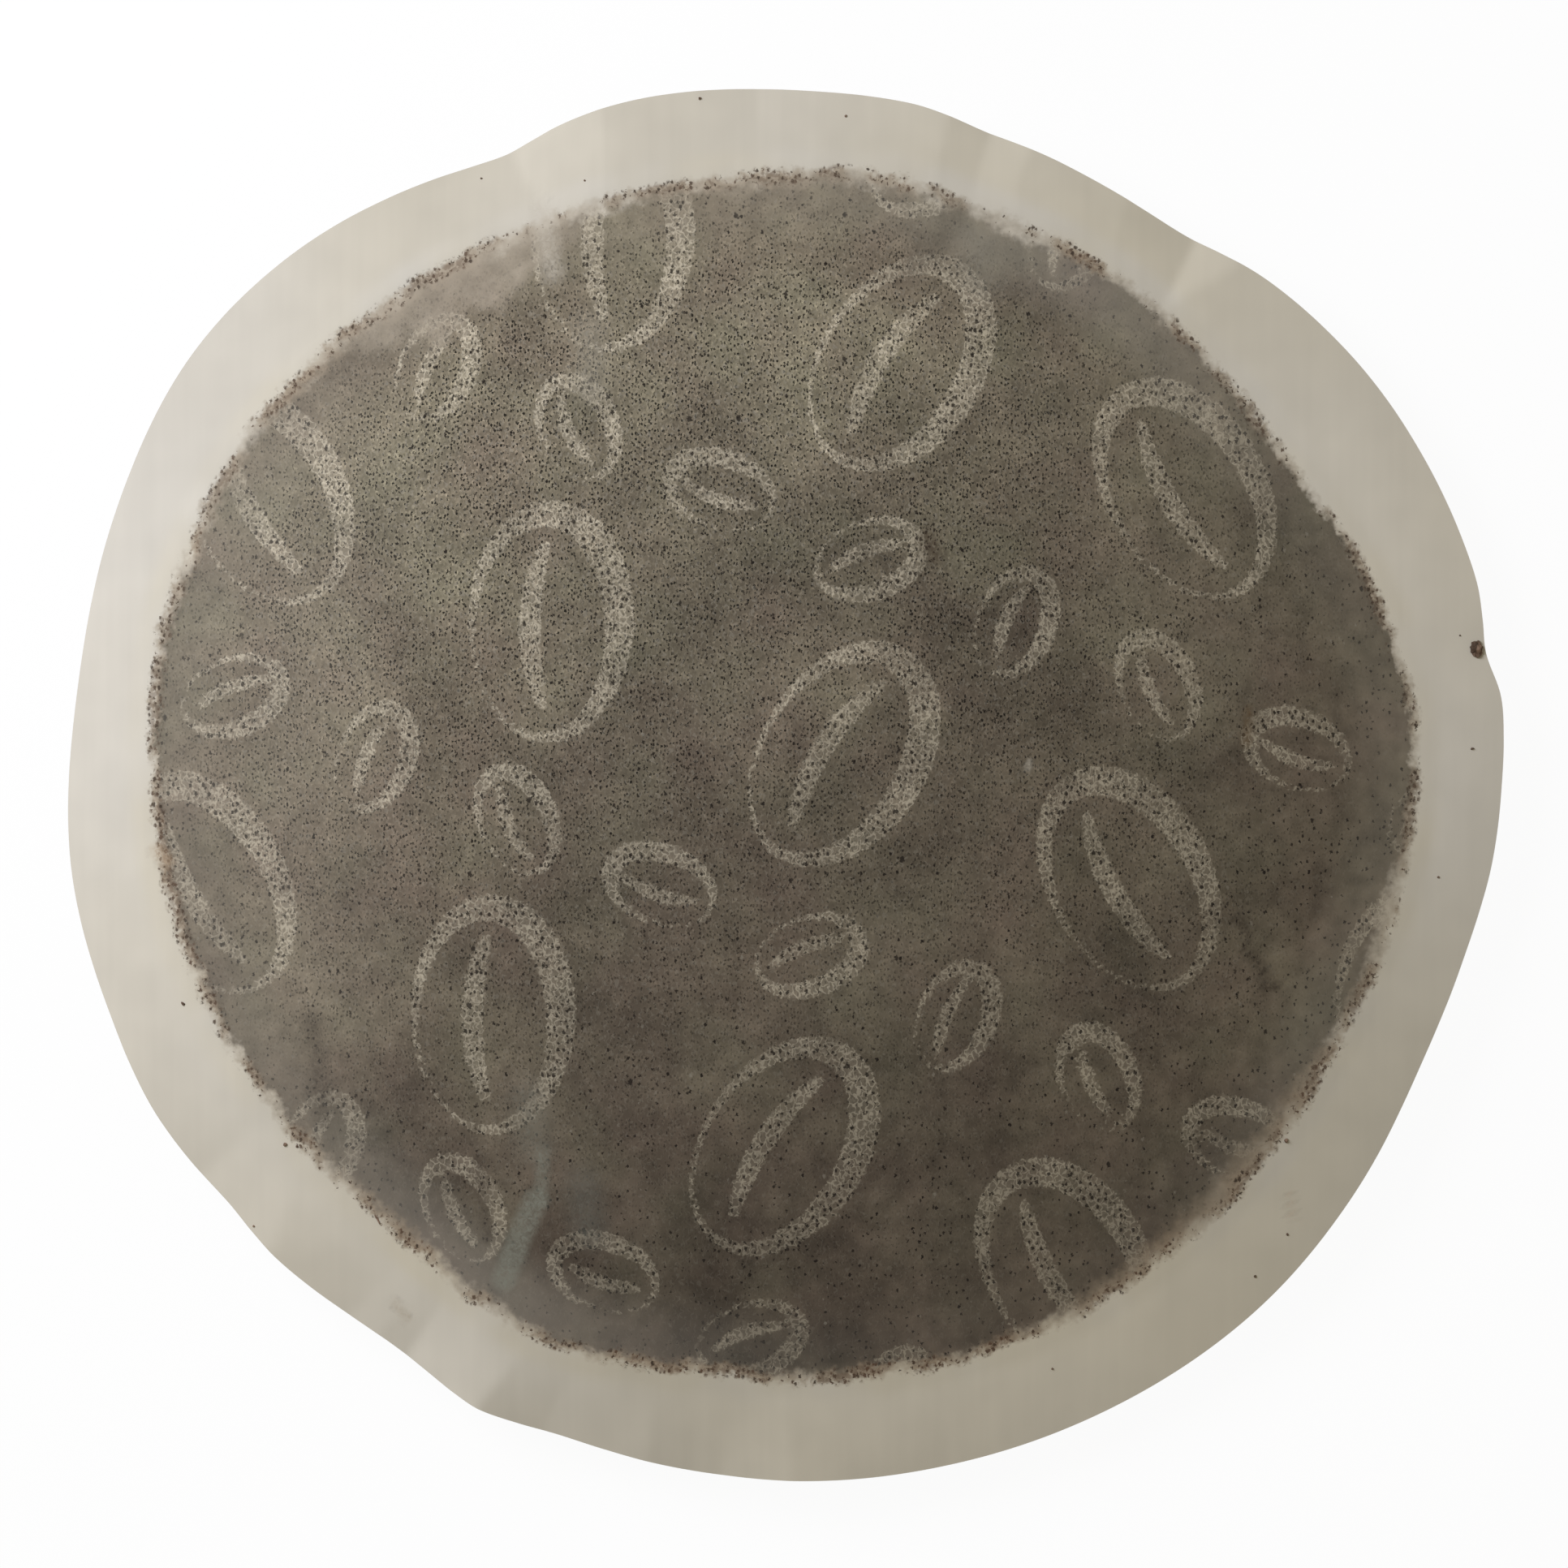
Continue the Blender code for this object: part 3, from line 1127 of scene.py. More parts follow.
# How far in from the coffee's edge the upper paper stands off it, round the pod.
LIFTED_BAND = RoundCurve.through(
    (2, 0.8), (9, 0.7), (16, 0.2), (40, 0.2), (60, 0.3), (74, 0.8), (92, 1.2), (108, 1.0), (115, 2.2),
    (122, 2.9), (130, 2.6), (137, 0.6), (160, 0.2), (200, 0.2), (240, 0.4), (262, 0.2), (300, 0.4),
    (318, 0.9), (330, 0.4), (347, 0.8),
)
# How gently the coffee fades out at its edge.
EDGE_SOFTNESS = RoundCurve.through(
    (0, 0.1), (30, 0.05), (55, 0.3), (70, 0.6), (92, 0.5), (120, 0.8), (150, 0.5), (180, 0.0), (205, 0.2),
    (230, 0.5), (250, 0.2), (270, 0.3), (290, 0.3), (305, 1.0), (320, 1.5), (335, 0.6), (350, 0.6),
)
# How thickly the crumbs lie along the coffee's edge, from none at 0 to most at 1.
CRUMB_CROWD = RoundCurve.through(
    (0, 0.8), (15, 0.75), (30, 0.6), (45, 0.55), (58, 0.5), (70, 0.55), (80, 0.5), (90, 0.7), (100, 0.55),
    (110, 0.45), (122, 0.65), (132, 0.45), (143, 0.6), (155, 0.85), (170, 0.95), (185, 0.9), (200, 0.7),
    (213, 0.45), (228, 0.65), (243, 0.6), (255, 0.75), (270, 0.85), (285, 0.85), (300, 0.95),
    (312, 0.7), (322, 0.5), (335, 0.75), (347, 0.45),
)
# How warm the bare rim looks, from cream at 0 to its warmest at 1.
RIM_WARMTH = RoundCurve.through(
    (0, 0.22), (15, 0.5), (30, 0.48), (60, 0.9), (75, 0.9), (90, 0.48), (120, 0.65), (150, 0.0),
    (170, 0.2), (195, 0.2), (210, 0.5), (225, 0.62), (240, 0.5), (255, 0.72), (270, 0.75), (300, 0.9),
    (330, 0.9), (345, 0.7),
)
# How much paler the bed is painted towards its edge than in its middle, and darker at the bottom: painted
# light and shade of the dome's slopes.
BED_EDGE_PAINTED_LIGHT = RoundCurve.through(
    (0, 0.21), (45, 0.28), (90, 0.44), (125, 0.3), (155, 0.3), (180, 0.44), (198, 0.38), (214, 0.15),
    (235, -0.06), (270, -0.3), (300, -0.04), (330, 0.14),
)
# How far a cool veil lies over the bed's last few millimetres.
BORDER_VEIL = RoundCurve.through(
    (0, 0.12), (30, 0.085), (60, 0.27), (90, 0.1), (120, 0.03), (150, 0.05), (180, 0.04), (210, 0.085),
    (240, 0.3), (255, 0.2), (270, 0.1), (300, 0.035), (330, 0.12),
)
# How pale the rim is painted round the pod: painted light and shade, laid over the real shading of its
# crimps.
RIM_PAINTED_LIGHT_AND_SHADE = RoundCurve.through(
    (0, 1.03), (30, 1.05), (45, 0.99), (60, 0.96), (75, 0.96), (90, 0.95), (105, 0.94), (120, 0.93),
    (135, 0.985), (150, 1.0), (180, 1.03), (200, 1.05), (212, 1.0), (226, 1.0), (238, 0.97), (250, 0.91),
    (262, 0.88), (272, 0.93), (285, 0.96), (300, 0.99), (330, 0.87), (345, 0.92),
)


@dataclass(frozen=True)
class SoftMark:
    """A soft mark on the upper paper, through a few points: a stain, or painted sheen or a painted highlight.

    Args:
        points: Where it runs.
        radius: Half its width.
        blur: How soft its edge is.
        colour: Its colour.
        strength: How far it hides the paper.
        crowding: How much more thickly grains lie in it.
    """

    points: tuple[Place, ...]
    radius: float
    blur: float
    colour: Colour
    strength: float
    crowding: float = 0.0

    def cover_at(self, spots: Spots) -> np.ndarray:
        """How far the mark covers the paper.

        Args:
            spots: The places.

        Returns:
            The cover at each of them, from 0 to 1.
        """
        distance = np.full_like(spots.x, np.inf)
        for start, end in zip(self.points, self.points[1:]):
            share = np.clip(spots.share_along(start, end), 0.0, 1.0)
            off_x = spots.x - start[0] - share * (end[0] - start[0])
            off_y = spots.y - start[1] - share * (end[1] - start[1])
            distance = np.minimum(distance, np.hypot(off_x, off_y))
        return smooth_step(self.radius + self.blur, self.radius - self.blur, distance)


# Shiny creases with painted sheen on them, dark and pale creases, a painted highlight on a pucker, a pale
# fleck, coffee spots and tan stains, as on a handled pod. Each has its points, radius, blur, colour and
# strength, and some a crowding.
STAINS_AND_PAINTED_LIGHT = (
    # Painted sheen: pale grey marks along a shiny crease, these three and the sixth.
    SoftMark(((-12.6, -15.4), (-12.3, -17.8)), 0.8, 0.8, (0.15, 0.147, 0.118), 0.4),
    SoftMark(((-11.9, -18.2), (-12.0, -20.6)), 0.3, 0.28, (0.2, 0.205, 0.166), 0.5),
    SoftMark(((-12.3, -20.6), (-13.1, -22.4), (-13.9, -24.6)), 0.58, 0.26, (0.2, 0.205, 0.166), 0.6, -0.2),
    SoftMark(((-15.0, -18.8), (-14.7, -22.4)), 0.35, 0.35, (0.05, 0.04, 0.031), 0.35, 0.4),
    SoftMark(((-23.3, -12.0), (-22.9, -16.4)), 0.5, 0.5, (0.05, 0.043, 0.035), 0.4, 0.4),
    # Painted sheen beside the same crease.
    SoftMark(((-9.9, -19.8), (-9.6, -22.0)), 0.8, 0.8, (0.13, 0.131, 0.11), 0.4),
    # Painted highlight along the lit side of a pucker.
    SoftMark(((-9.6, 22.6), (-9.5, 19.6)), 0.7, 0.7, (0.22, 0.205, 0.165), 0.35),
    SoftMark(((-12.1, 28.5), (-11.5, 25.4)), 0.5, 0.5, (0.42, 0.388, 0.32), 0.5, -0.4),
    SoftMark(((8.6, 28.2), (6.4, 25.4)), 0.6, 0.6, (0.1, 0.089, 0.069), 0.4),
    SoftMark(((9.6, 26.9), (9.8, 25.0)), 0.9, 0.9, (0.25, 0.236, 0.19), 0.3),
    SoftMark(((7.0, 12.0), (7.3, 11.2)), 0.42, 0.4, (0.055, 0.038, 0.025), 0.5, 0.4),
    SoftMark(((11.8, 0.7), (12.0, 1.1)), 0.15, 0.14, (0.4, 0.375, 0.31), 0.7),
    SoftMark(((22.9, 3.6), (22.8, 2.0)), 0.22, 0.22, (0.12, 0.082, 0.045), 0.6),
    SoftMark(
        ((22.3, -6.6), (22.9, -7.3), (22.7, -8.1), (23.6, -9.0), (23.8, -10.1), (24.4, -10.0)),
        0.2, 0.2, (0.03, 0.023, 0.017), 0.6, 0.9,
    ),
    SoftMark(((-31.2, -3.3), (-30.7, -3.9)), 0.3, 0.3, (0.33, 0.24, 0.15), 0.5),
    SoftMark(((-19.4, -25.9), (-18.8, -26.6)), 0.2, 0.2, (0.36, 0.31, 0.23), 0.4),
    SoftMark(((25.2, -20.4), (25.3, -21.6)), 0.15, 0.15, (0.42, 0.32, 0.23), 0.3),
)


@dataclass
class PaperSheet:
    """One disc of filter paper, pressed over the coffee and sealed to the other along its rim."""

    side: Side
    form: PodForm
    material: bpy.types.Material
    cut_diameter: float = 70.2
    lump_height: float = 0.09
    lump_size: float = 5.5
    grain_height: float = 0.03
    grain_size: float = 0.9
    sharp_angle: float = math.radians(50)
    lamp_bearing: float = 150.0

    @property
    def name(self) -> str:
        """The piece's name."""
        return "upper_sheet" if self.side is Side.UPPER else "lower_sheet"

    def build(self) -> bpy.types.Object:
        """Make the sheet, dress it and put it in the frame.

        Returns:
            The sheet.
        """
        grid = DiscGrid()
        spots = self.form.spots(grid)
        middle_x, middle_y = self.form.middle
        places = np.column_stack([spots.x + middle_x, spots.y + middle_y, self.heights(spots)]) * MM
        faces = grid.faces()
        if self.side is Side.LOWER:
            faces = [face[::-1] for face in faces]
        mesh = bpy.data.meshes.new(self.name)
        mesh.from_pydata(places.tolist(), [], faces)
        self.add_looks(mesh, spots)
        mesh.materials.append(self.material)
        sheet = put_in_scene(self.name, mesh)
        wall = sheet.modifiers.new("wall", "SOLIDIFY")
        wall.thickness = self.form.paper_thickness * MM
        wall.offset = -1.0
        apply_modifiers(sheet)
        sheet.data.shade_smooth()
        sheet.data.set_sharp_from_angle(angle=self.sharp_angle)
        self.declare(sheet)
        return sheet

    def heights(self, spots: Spots) -> np.ndarray:
        """The height of the sheet's outer face: its smooth form, the folds of the rim, lumps and grain.

        Args:
            spots: The places.

        Returns:
            The height at each of them.
        """
        folds = sum(pleats.height_at(spots) for pleats in RIM_PLEATS)
        folds = np.where(folds > 0, folds, folds * smooth_step(1.0, -0.5, spots.into_bed))
        over_bed = smooth_step(0.0, 3.0, spots.into_bed)
        if self.side is Side.UPPER:
            lumps = self.lump_height * spots.clouds(self.lump_size, layer=3.5)
            grain = self.grain_height * spots.clouds(self.grain_size, layer=8.5)
            return self.form.upper_face(spots) + folds + over_bed * (lumps + grain)
        folds = folds * smooth_step(0.5, -1.0, spots.into_bed)
        off_foot = smooth_step(0.5, 4.0, spots.radius - self.form.foot_radius)
        lumps = self.lump_height * spots.clouds(self.lump_size, layer=6.5)
        return self.form.lower_face(spots) + folds + over_bed * off_foot * lumps

    def add_looks(self, mesh: bpy.types.Mesh, spots: Spots) -> None:
        """Keep at each corner what the finish reads there.

        Args:
            mesh: The sheet's mesh.
            spots: The places of its corners.
        """
        layer = 20.5 if self.side is Side.UPPER else 50.5
        sway = 0.24 * spots.clouds(2.4, layer, octaves=2) + 0.2 * spots.clouds(0.9, layer + 1)
        softness = 0.3 + EDGE_SOFTNESS.at(spots.bearing)
        veil = BORDER_VEIL.at(spots.bearing) * smooth_step(4.5, 1.2, spots.into_bed)
        values = {
            "edge": spots.into_bed + sway,
            "softness": softness,
            "haze": self.haze(spots),
            # Painted light: the cool veil is painted stronger over the left side, towards the lamp.
            "veil": veil + 0.1 * smooth_step(-15, -27, spots.x),
            "tone": self.tone(spots),
            "warmth": self.warmth(spots),
            "grit_in_grazing_light": self.grit_in_grazing_light(spots),
            "crowd": self.crowd(spots, layer + 2),
        }
        if self.side is Side.UPPER:
            values["print_depth"] = np.clip(BeanPrint().depth_at(spots), -2.0, None)
            self.add_stains_and_painted_light(mesh, spots)
        for name, numbers in values.items():
            mesh.attributes.new(name, "FLOAT", "POINT").data.foreach_set("value", numbers.astype(np.float32))

    @staticmethod
    def crowd(spots: Spots, layer: float) -> np.ndarray:
        """How thickly grains lie.

        Args:
            spots: The places.
            layer: Which noise the swells are.

        Returns:
            The crowding at each of them, from 0 to 1.
        """
        swells = 0.85 * spots.clouds(1.6, layer, octaves=2)
        at_edge = smooth_step(1.8, 0.9, spots.into_bed)
        crowd = 0.5 + swells + at_edge * (CRUMB_CROWD.at(spots.bearing) - 0.5 + 0.4 * swells)
        return np.clip(crowd + sum(stain.crowding * stain.cover_at(spots) for stain in STAINS_AND_PAINTED_LIGHT), 0.0, 1.0)

    def haze(self, spots: Spots) -> np.ndarray:
        """How far the paper stands off the coffee near its edge.

        Args:
            spots: The places.

        Returns:
            A share for each of them, from 0 to 1.
        """
        if self.side is Side.LOWER:
            return np.zeros_like(spots.bearing)
        band = np.maximum(LIFTED_BAND.at(spots.bearing), 0.05)
        strength = 0.66 * smooth_step(0.4, 2.2, band)
        strength = strength * (0.85 + 0.4 * spots.clouds(0.9, layer=30.5, octaves=2))
        across = spots.into_bed / band + 0.5 * spots.clouds(1.6, layer=31.5, octaves=2)
        return strength * smooth_step(1.3, 0.65, across) * smooth_step(-0.1, 0.4, spots.into_bed)

    def tone(self, spots: Spots) -> np.ndarray:
        """How pale the paper looks, with painted light and shade in it.

        Args:
            spots: The places.

        Returns:
            A factor for each of them, 1 for the plain colour.
        """
        swells = 0.34 * spots.clouds(4.4, layer=40.5, octaves=3)
        rim_swells = 0.04 * spots.clouds(2.0, layer=41.5, octaves=2)
        if self.side is Side.LOWER:
            return 1 + smooth_step(-0.5, 0.5, spots.into_bed) * swells
        # The bed's edge carries painted light and shade of the dome's slopes.
        bed = 0.95 + BED_EDGE_PAINTED_LIGHT.at(spots.bearing) * smooth_step(8.0, 27.0, spots.radius) + swells
        # Painted shade on the slack where it faces the lamp, and painted light where it faces away, to even
        # out its real shading.
        to_lamp = np.cos(np.radians(spots.bearing - self.lamp_bearing))
        painted_counter_shading = 1 - 0.08 * to_lamp * smooth_step(-0.9, 0.1, spots.into_bed)
        rim = (RIM_PAINTED_LIGHT_AND_SHADE.at(spots.bearing) + rim_swells) * painted_counter_shading
        return bed + (rim - bed) * smooth_step(0.9, 0.2, spots.into_bed)

    @staticmethod
    def warmth(spots: Spots) -> np.ndarray:
        """How brown the paper looks.

        Args:
            spots: The places.

        Returns:
            A share for each of them, from grey at 0 to brown at 1.
        """
        bed = 0.52 - 0.012 * spots.y + 0.3 * smooth_step(19.0, 27.0, spots.y)
        bed = bed + 0.5 * spots.clouds(3.6, layer=42.5, octaves=2)
        rim = RIM_WARMTH.at(spots.bearing) + 0.3 * spots.clouds(9.0, layer=43.5)
        return bed + (rim - bed) * smooth_step(-0.6, -1.6, spots.into_bed)

    @staticmethod
    def grit_in_grazing_light(spots: Spots) -> np.ndarray:
        """How strongly the grit shows: painted light and shade of its relief, most at the upper left, where
        light grazes.

        Args:
            spots: The places.

        Returns:
            A share for each of them.
        """
        to_top_right = smooth_step(12.0, 26.0, 0.87 * spots.x + 0.5 * spots.y)
        grit_in_grazing_light = np.clip(0.6 + 0.022 * spots.y - 0.004 * spots.x - 0.4 * to_top_right, 0.15, 1.0)
        grit_in_grazing_light = grit_in_grazing_light - 0.3 * smooth_step(20.0, 28.0, spots.y)
        return grit_in_grazing_light * (0.25 + 0.75 * smooth_step(0.0, 6.0, spots.into_bed))

    @staticmethod
    def add_stains_and_painted_light(mesh: bpy.types.Mesh, spots: Spots) -> None:
        """Keep the colour and the strength of the stains, and of the painted sheen and highlights, at each
        corner.

        Args:
            mesh: The sheet's mesh.
            spots: The places of its corners.
        """
        painted = np.zeros((len(spots.x), 4), np.float32)
        for stain in STAINS_AND_PAINTED_LIGHT:
            strength = stain.strength * stain.cover_at(spots)
            total = painted[:, 3] + strength * (1 - painted[:, 3])
            share = (strength / np.maximum(total, TINY))[:, None]
            painted[:, :3] = painted[:, :3] * (1 - share) + np.array(stain.colour) * share
            painted[:, 3] = total
        mesh.attributes.new("stain", "FLOAT_COLOR", "POINT").data.foreach_set("color", painted.ravel())

    def declare(self, sheet: bpy.types.Object) -> None:
        """Attach the sheet to the pod's body, hide the CAD node that it replaces and report its size.

        Args:
            sheet: The sheet.
        """
        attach(sheet, "root")
        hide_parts(self.side.value)
        log_size(sheet)


@dataclass
class CoffeeCake:
    """The pressed cake of ground coffee between the papers, as grains and not as a smooth solid."""

    node: bpy.types.Object
    material: bpy.types.Material
    weld: float = 0.001
    voxel: float = 0.42
    grain_size: float = 0.7
    grain_depth: float = 0.16
    least_sunk: float = 0.35

    def build(self) -> bpy.types.Object:
        """Make the cake from the CAD solid: remesh a copy, then sink the joints between its grains.

        Returns:
            The cake.
        """
        mesh = self.node.data.copy()
        mesh.name = "coffee_cake"
        loose = bmesh.new()
        loose.from_mesh(mesh)
        bmesh.ops.remove_doubles(loose, verts=loose.verts, dist=self.weld * MM)
        loose.to_mesh(mesh)
        loose.free()
        cake = put_in_scene("coffee_cake", mesh)
        evened = cake.modifiers.new("evened", "REMESH")
        evened.mode = "VOXEL"
        evened.voxel_size = self.voxel * MM
        evened.use_smooth_shade = True
        apply_modifiers(cake)
        self.sink_joints(cake.data)
        cake.data.materials.clear()
        cake.data.materials.append(self.material)
        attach(cake, "root")
        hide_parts("coffee_bed")
        log_size(cake)
        return cake

    def sink_joints(self, mesh: bpy.types.Mesh) -> None:
        """Push the mesh in between its grains, so that it never grows past the solid.

        Args:
            mesh: The cake's mesh.
        """
        places = np.zeros(len(mesh.vertices) * 3)
        normals = np.zeros(len(mesh.vertices) * 3, np.float32)
        mesh.vertices.foreach_get("co", places)
        mesh.vertex_normals.foreach_get("vector", normals)
        places, normals = places.reshape(-1, 3), normals.reshape(-1, 3)
        nearest = [noise.voronoi(Vector(place) / (self.grain_size * MM))[0][0] for place in places]
        depth = self.grain_depth * np.minimum(1.0, self.least_sunk + np.array(nearest)) * MM
        mesh.vertices.foreach_set("co", (places - normals * depth[:, None]).ravel())
        mesh.update()


@dataclass(frozen=True)
class Grain:
    """A grain of coffee that lies loose on the rim.

    Args:
        place: Where it lies, from the frame's origin.
        length: How long it is.
        turn: How far its length is turned from X, in degrees.
        slimness: Its width as a share of its length.
    """

    place: Place
    length: float
    turn: float = 0.0
    slimness: float = 0.75


# The crumb at the rim's right edge is a clot of nine; the others lie alone, and the slim one is a hair.
# Each has its place and length, and most a turn.
LOOSE_GRAINS = (
    Grain((34.3, 7.0), 0.38, 40),
    Grain((34.52, 7.02), 0.34, 100),
    Grain((34.62, 6.84), 0.3, 10),
    Grain((34.6, 6.62), 0.36, 80),
    Grain((34.5, 6.46), 0.34, 20),
    Grain((34.34, 6.5), 0.3, 150),
    Grain((34.26, 6.66), 0.36, 110),
    Grain((34.2, 6.84), 0.26, 70),
    Grain((34.44, 6.76), 0.56, 62, slimness=0.9),
    Grain((33.6, 7.44), 0.1),
    Grain((-4.27, 34.2), 0.17, 30),
    Grain((3.0, 33.3), 0.15, 75),
    Grain((-15.2, 30.3), 0.12),
    Grain((-10.0, 30.1), 0.12, 120),
    Grain((34.2, 1.8), 0.2, 15, slimness=0.5),
    Grain((32.5, -4.6), 0.13, 50),
    Grain((-30.0, -10.9), 0.24, 140, slimness=0.6),
    Grain((-24.9, -17.9), 0.22, 20),
    Grain((-24.3, -18.0), 0.16, 90),
    Grain((-26.5, -22.0), 0.13),
    Grain((23.4, -24.5), 0.15, 60),
    Grain((13.3, -29.1), 0.13, 10),
    Grain((25.0, -22.4), 0.15, 100),
    Grain((24.9, -17.7), 0.24, 70),
    Grain((-20.3, -21.6), 0.62, -62, slimness=0.16),
)


@dataclass
class StrayGrains:
    """Loose grains of ground coffee on the rim of the upper paper."""

    sheet: bpy.types.Object
    material: bpy.types.Material
    roughening: float = 0.16
    worn_edge: float = 0.04
    flatness: float = 0.6
    sunk: float = 0.25
    above: float = 30.0

    def build(self) -> bpy.types.Object:
        """Model one grain, then lay copies of it down and join them.

        Returns:
            The grains.
        """
        first = self.model_grain()
        copies = []
        for grain in LOOSE_GRAINS:
            copy = put_in_scene("loose_grain", first.data.copy())
            self.lay(copy, grain)
            copies.append(copy)
        bpy.data.objects.remove(first)
        select_only(*copies)
        bpy.ops.object.join()
        grains = bpy.context.object
        grains.name = "stray_grains"
        grains.data.materials.append(self.material)
        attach(grains, "root")
        log_size(grains)
        return grains

    def model_grain(self) -> bpy.types.Object:
        """Model a rough grain.

        Returns:
            The grain, a unit long.
        """
        select_only()
        bpy.ops.mesh.primitive_ico_sphere_add(subdivisions=2, radius=0.5, location=(0, 0, 0))
        bpy.ops.object.mode_set(mode="EDIT")
        bpy.ops.mesh.select_all(action="SELECT")
        bpy.ops.transform.vertex_random(offset=self.roughening, uniform=0.4, normal=0.6, seed=4)
        bpy.ops.mesh.bevel(offset=self.worn_edge, segments=1, affect="EDGES")
        bpy.ops.mesh.normals_make_consistent(inside=False)
        bpy.ops.object.mode_set(mode="OBJECT")
        return bpy.context.object

    def lay(self, piece: bpy.types.Object, grain: Grain) -> None:
        """Put a copy of the grain on the paper, sunk a little into its fibres.

        Args:
            piece: The copy.
            grain: Where it lies and how large it is.
        """
        above = Vector((*grain.place, self.above)) * MM
        found, spot, normal, _ = self.sheet.ray_cast(above, Vector((0.0, 0.0, -1.0)))
        if not found:
            raise ValueError(f"no paper under the grain at {grain.place}")
        length = grain.length * MM
        height = length * min(grain.slimness, self.flatness)
        size = Matrix.Diagonal((length, length * grain.slimness, height, 1))
        turn = Matrix.Rotation(math.radians(grain.turn), 4, "Z")
        lift = Matrix.Translation(spot + normal * height * (0.5 - self.sunk))
        piece.data.transform(lift @ turn @ size)


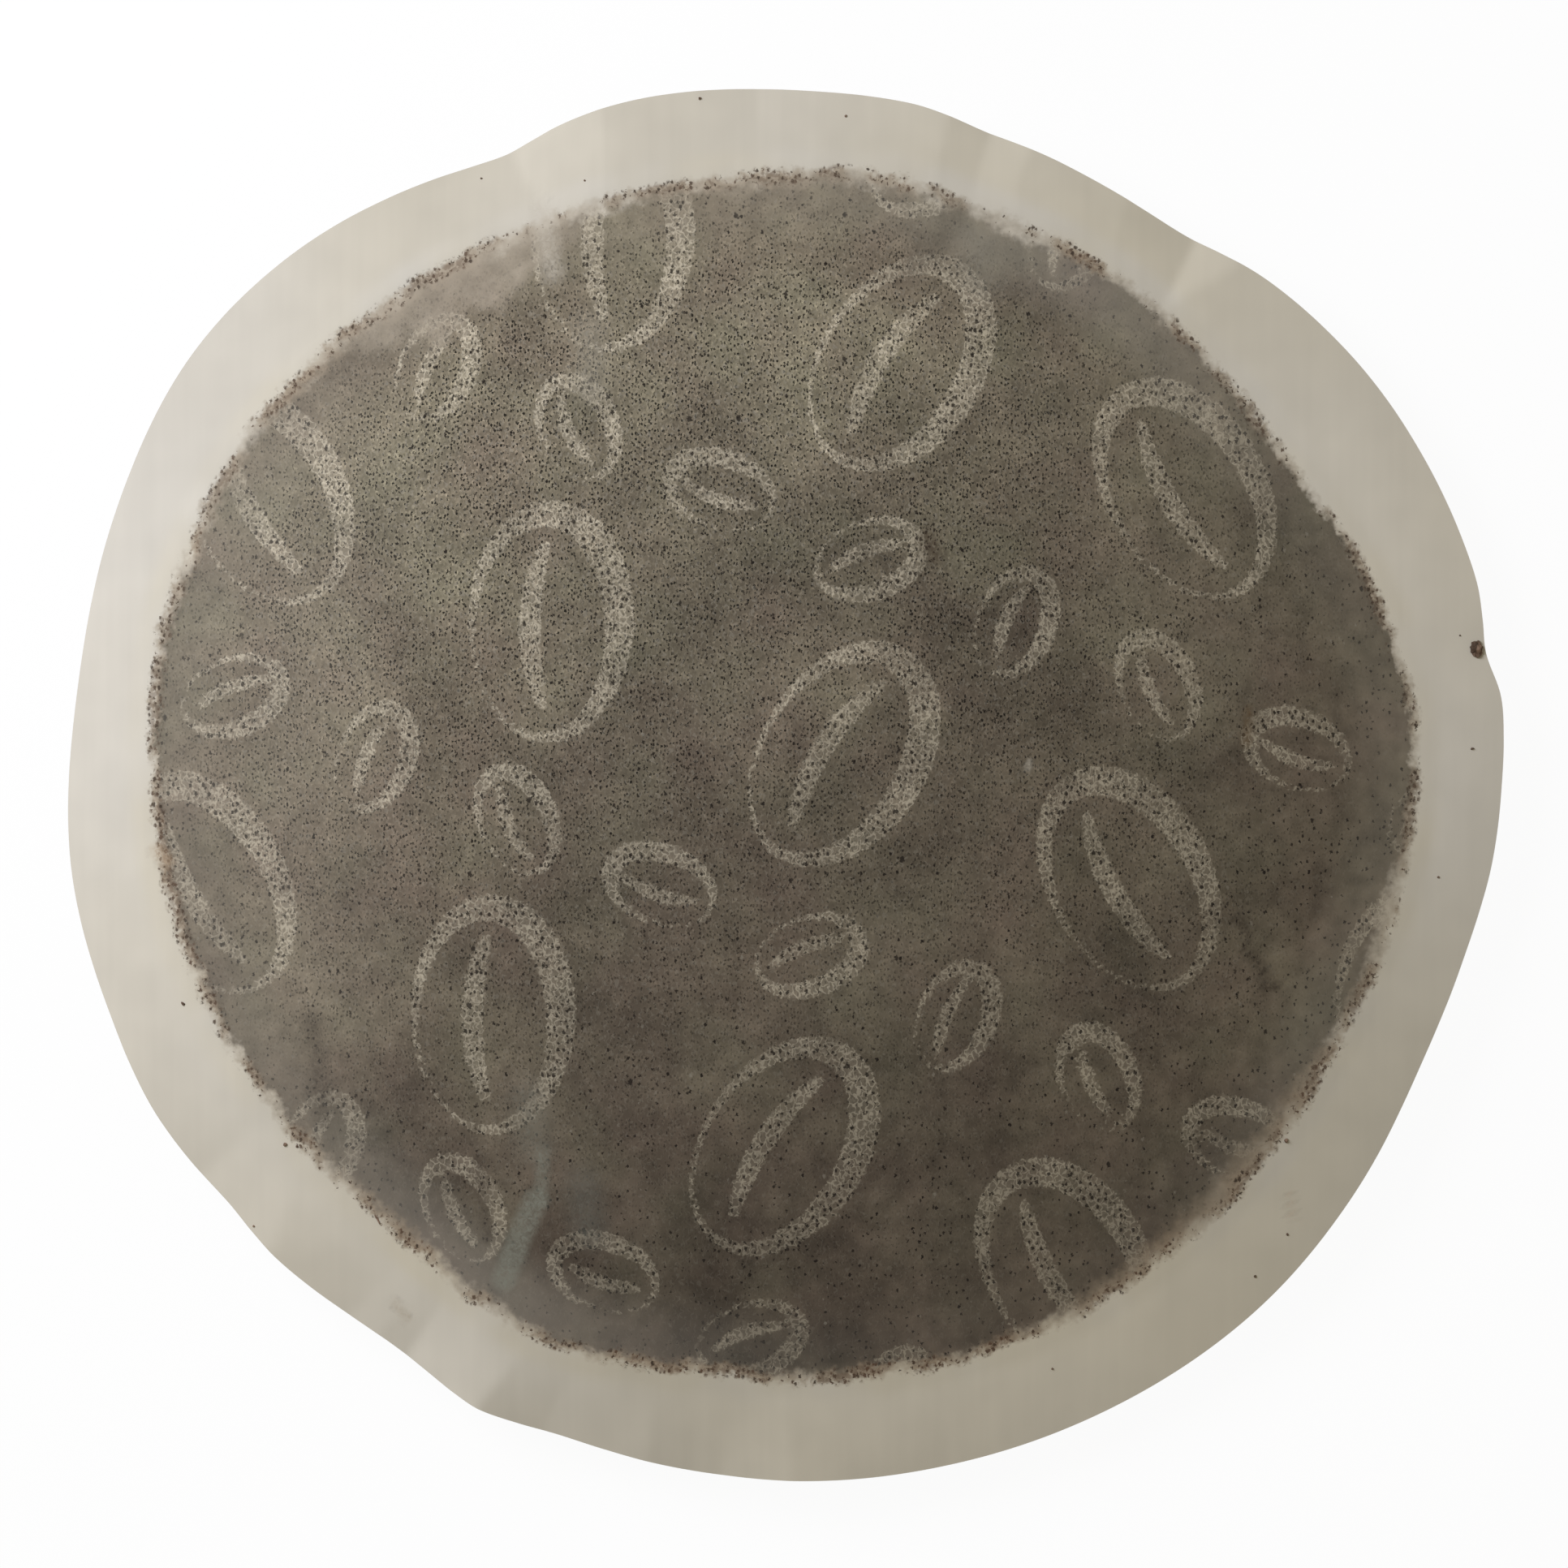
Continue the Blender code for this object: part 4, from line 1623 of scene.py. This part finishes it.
@dataclass
class Studio:
    """A pale floor, one soft lamp at the upper left, warm fill from the room, and the camera above."""

    middle: Place
    rim_plane: float = 2.5
    frame_width: float = 78.25
    lens: float = 100.0
    sensor: float = 36.0
    clip_start: float = 10.0
    lamp_bearing: float = 145.0
    lamp_elevation: float = 40.0
    lamp_distance: float = 200.0
    lamp_size: float = 110.0
    lamp_power: float = 0.42
    lamp_colour: Colour = (1.0, 1.01, 1.12)
    fill: Colour = (1.0, 0.9, 0.7)
    fill_strength: float = 0.3
    floor_size: float = 3000.0
    floor_colour: Colour = (0.82, 0.82, 0.82)
    own_light: float = 0.95
    floor_gap: float = 0.02

    def build(self) -> None:
        """Set the whole stage up."""
        self.add_floor()
        self.add_lamp()
        self.add_world()
        self.add_camera()
        bpy.context.scene.view_settings.view_transform = "Standard"
        log.info("stage: floor, lamp, room and camera")

    def add_floor(self) -> None:
        """Lay the floor just under the pod."""
        select_only()
        bpy.ops.mesh.primitive_plane_add(size=self.floor_size * MM, location=(0, 0, -self.floor_gap * MM))
        floor = bpy.context.object
        floor.name = "floor"
        bpy.ops.object.transform_apply(location=True, rotation=True, scale=True)
        floor.data.materials.append(self.floor_material())

    def floor_material(self) -> bpy.types.Material:
        """A pale floor that looks white to the camera and in reflections, and keeps a shadow.

        Returns:
            The material.
        """
        made = bpy.data.materials.new("pale_floor")
        made.use_nodes = True
        nodes = made.node_tree.nodes
        nodes.remove(nodes["Principled BSDF"])
        wiring = Wiring(made.node_tree)
        matt = wiring.add("ShaderNodeBsdfDiffuse", {"Color": self.floor_colour})
        glow = wiring.add("ShaderNodeEmission", {"Color": WHITE, "Strength": 1.0})
        seen = wiring.product(self.seen_rays(wiring), self.own_light)
        self.mix_surfaces(wiring, seen, matt, glow, nodes["Material Output"])
        return made

    @staticmethod
    def seen_rays(wiring: Wiring) -> Socket:
        """Find the rays that show a background: straight to the camera, reflected or through glass.

        Args:
            wiring: The wiring of the tree that asks.

        Returns:
            A socket with 1 for such rays.
        """
        rays = wiring.add("ShaderNodeLightPath").outputs
        seen = wiring.math("MAXIMUM", rays["Is Camera Ray"], rays["Is Glossy Ray"])
        return wiring.math("MAXIMUM", seen, rays["Is Transmission Ray"])

    @staticmethod
    def mix_surfaces(
        wiring: Wiring, amount: Socket, first: bpy.types.Node, second: bpy.types.Node, output: bpy.types.Node
    ) -> None:
        """Feed the mix of two shaders to the output, with the amount of the second."""
        mixed = wiring.add("ShaderNodeMixShader", {0: amount, 1: first.outputs[0], 2: second.outputs[0]})
        wiring.feed(output.inputs["Surface"], mixed.outputs[0])

    def add_lamp(self) -> None:
        """Hang the lamp, turned to the pod."""
        bearing, elevation = math.radians(self.lamp_bearing), math.radians(self.lamp_elevation)
        to_lamp = Vector((
            math.cos(bearing) * math.cos(elevation),
            math.sin(bearing) * math.cos(elevation),
            math.sin(elevation),
        ))
        light = bpy.data.lights.new("lamp", "AREA")
        light.shape = "SQUARE"
        light.size = self.lamp_size * MM
        light.energy = self.lamp_power
        light.color = self.lamp_colour
        lamp = put_in_scene("lamp", light)
        lamp.location = Vector((*self.middle, 0.0)) * MM + to_lamp * self.lamp_distance * MM
        lamp.rotation_euler = to_lamp.to_track_quat("Z", "Y").to_euler()

    def add_world(self) -> None:
        """Fill the room with warm light, and show it white."""
        world = bpy.data.worlds.new("room")
        world.use_nodes = True
        bpy.context.scene.world = world
        nodes = world.node_tree.nodes
        wiring = Wiring(world.node_tree)
        light = nodes["Background"]
        wiring.feed(light.inputs["Color"], self.fill)
        wiring.feed(light.inputs["Strength"], self.fill_strength)
        white = wiring.add("ShaderNodeBackground", {"Color": WHITE})
        self.mix_surfaces(wiring, self.seen_rays(wiring), light, white, nodes["World Output"])

    def add_camera(self) -> None:
        """Put the camera straight above the middle of the pod."""
        lens = bpy.data.cameras.new("camera")
        lens.lens = self.lens
        lens.sensor_width = self.sensor
        lens.clip_start = self.clip_start * MM
        camera = put_in_scene("camera", lens)
        distance = self.frame_width * self.lens / self.sensor
        camera.location = Vector((*self.middle, self.rim_plane + distance)) * MM
        bpy.context.scene.camera = camera


def main() -> None:
    """Build the pod and its stage, and report each piece."""
    logging.basicConfig(level=logging.INFO, format="%(message)s")
    form = PodForm.from_frame(frame["nodes"])
    log.info("middle %.2f, %.2f; foot radius %.2f", *form.middle, form.foot_radius)
    patterns = Patterns()
    Studio(form.middle).build()
    pressed = GroundsFinish("ground_coffee_grains").build(
        dark=(0.032, 0.018, 0.01), light=(0.1, 0.058, 0.034)
    )
    loose = GroundsFinish("loose_coffee_grains").build(
        dark=(0.05, 0.03, 0.018), light=(0.19, 0.122, 0.08)
    )
    CoffeeCake(frame["nodes"]["coffee_bed"], pressed).build()
    PaperSheet(Side.LOWER, form, PaperFinish(patterns, printed=False).build()).build()
    upper = PaperSheet(Side.UPPER, form, PaperFinish(patterns, printed=True).build()).build()
    StrayGrains(upper, loose).build()


if __name__ == "__main__":
    main()
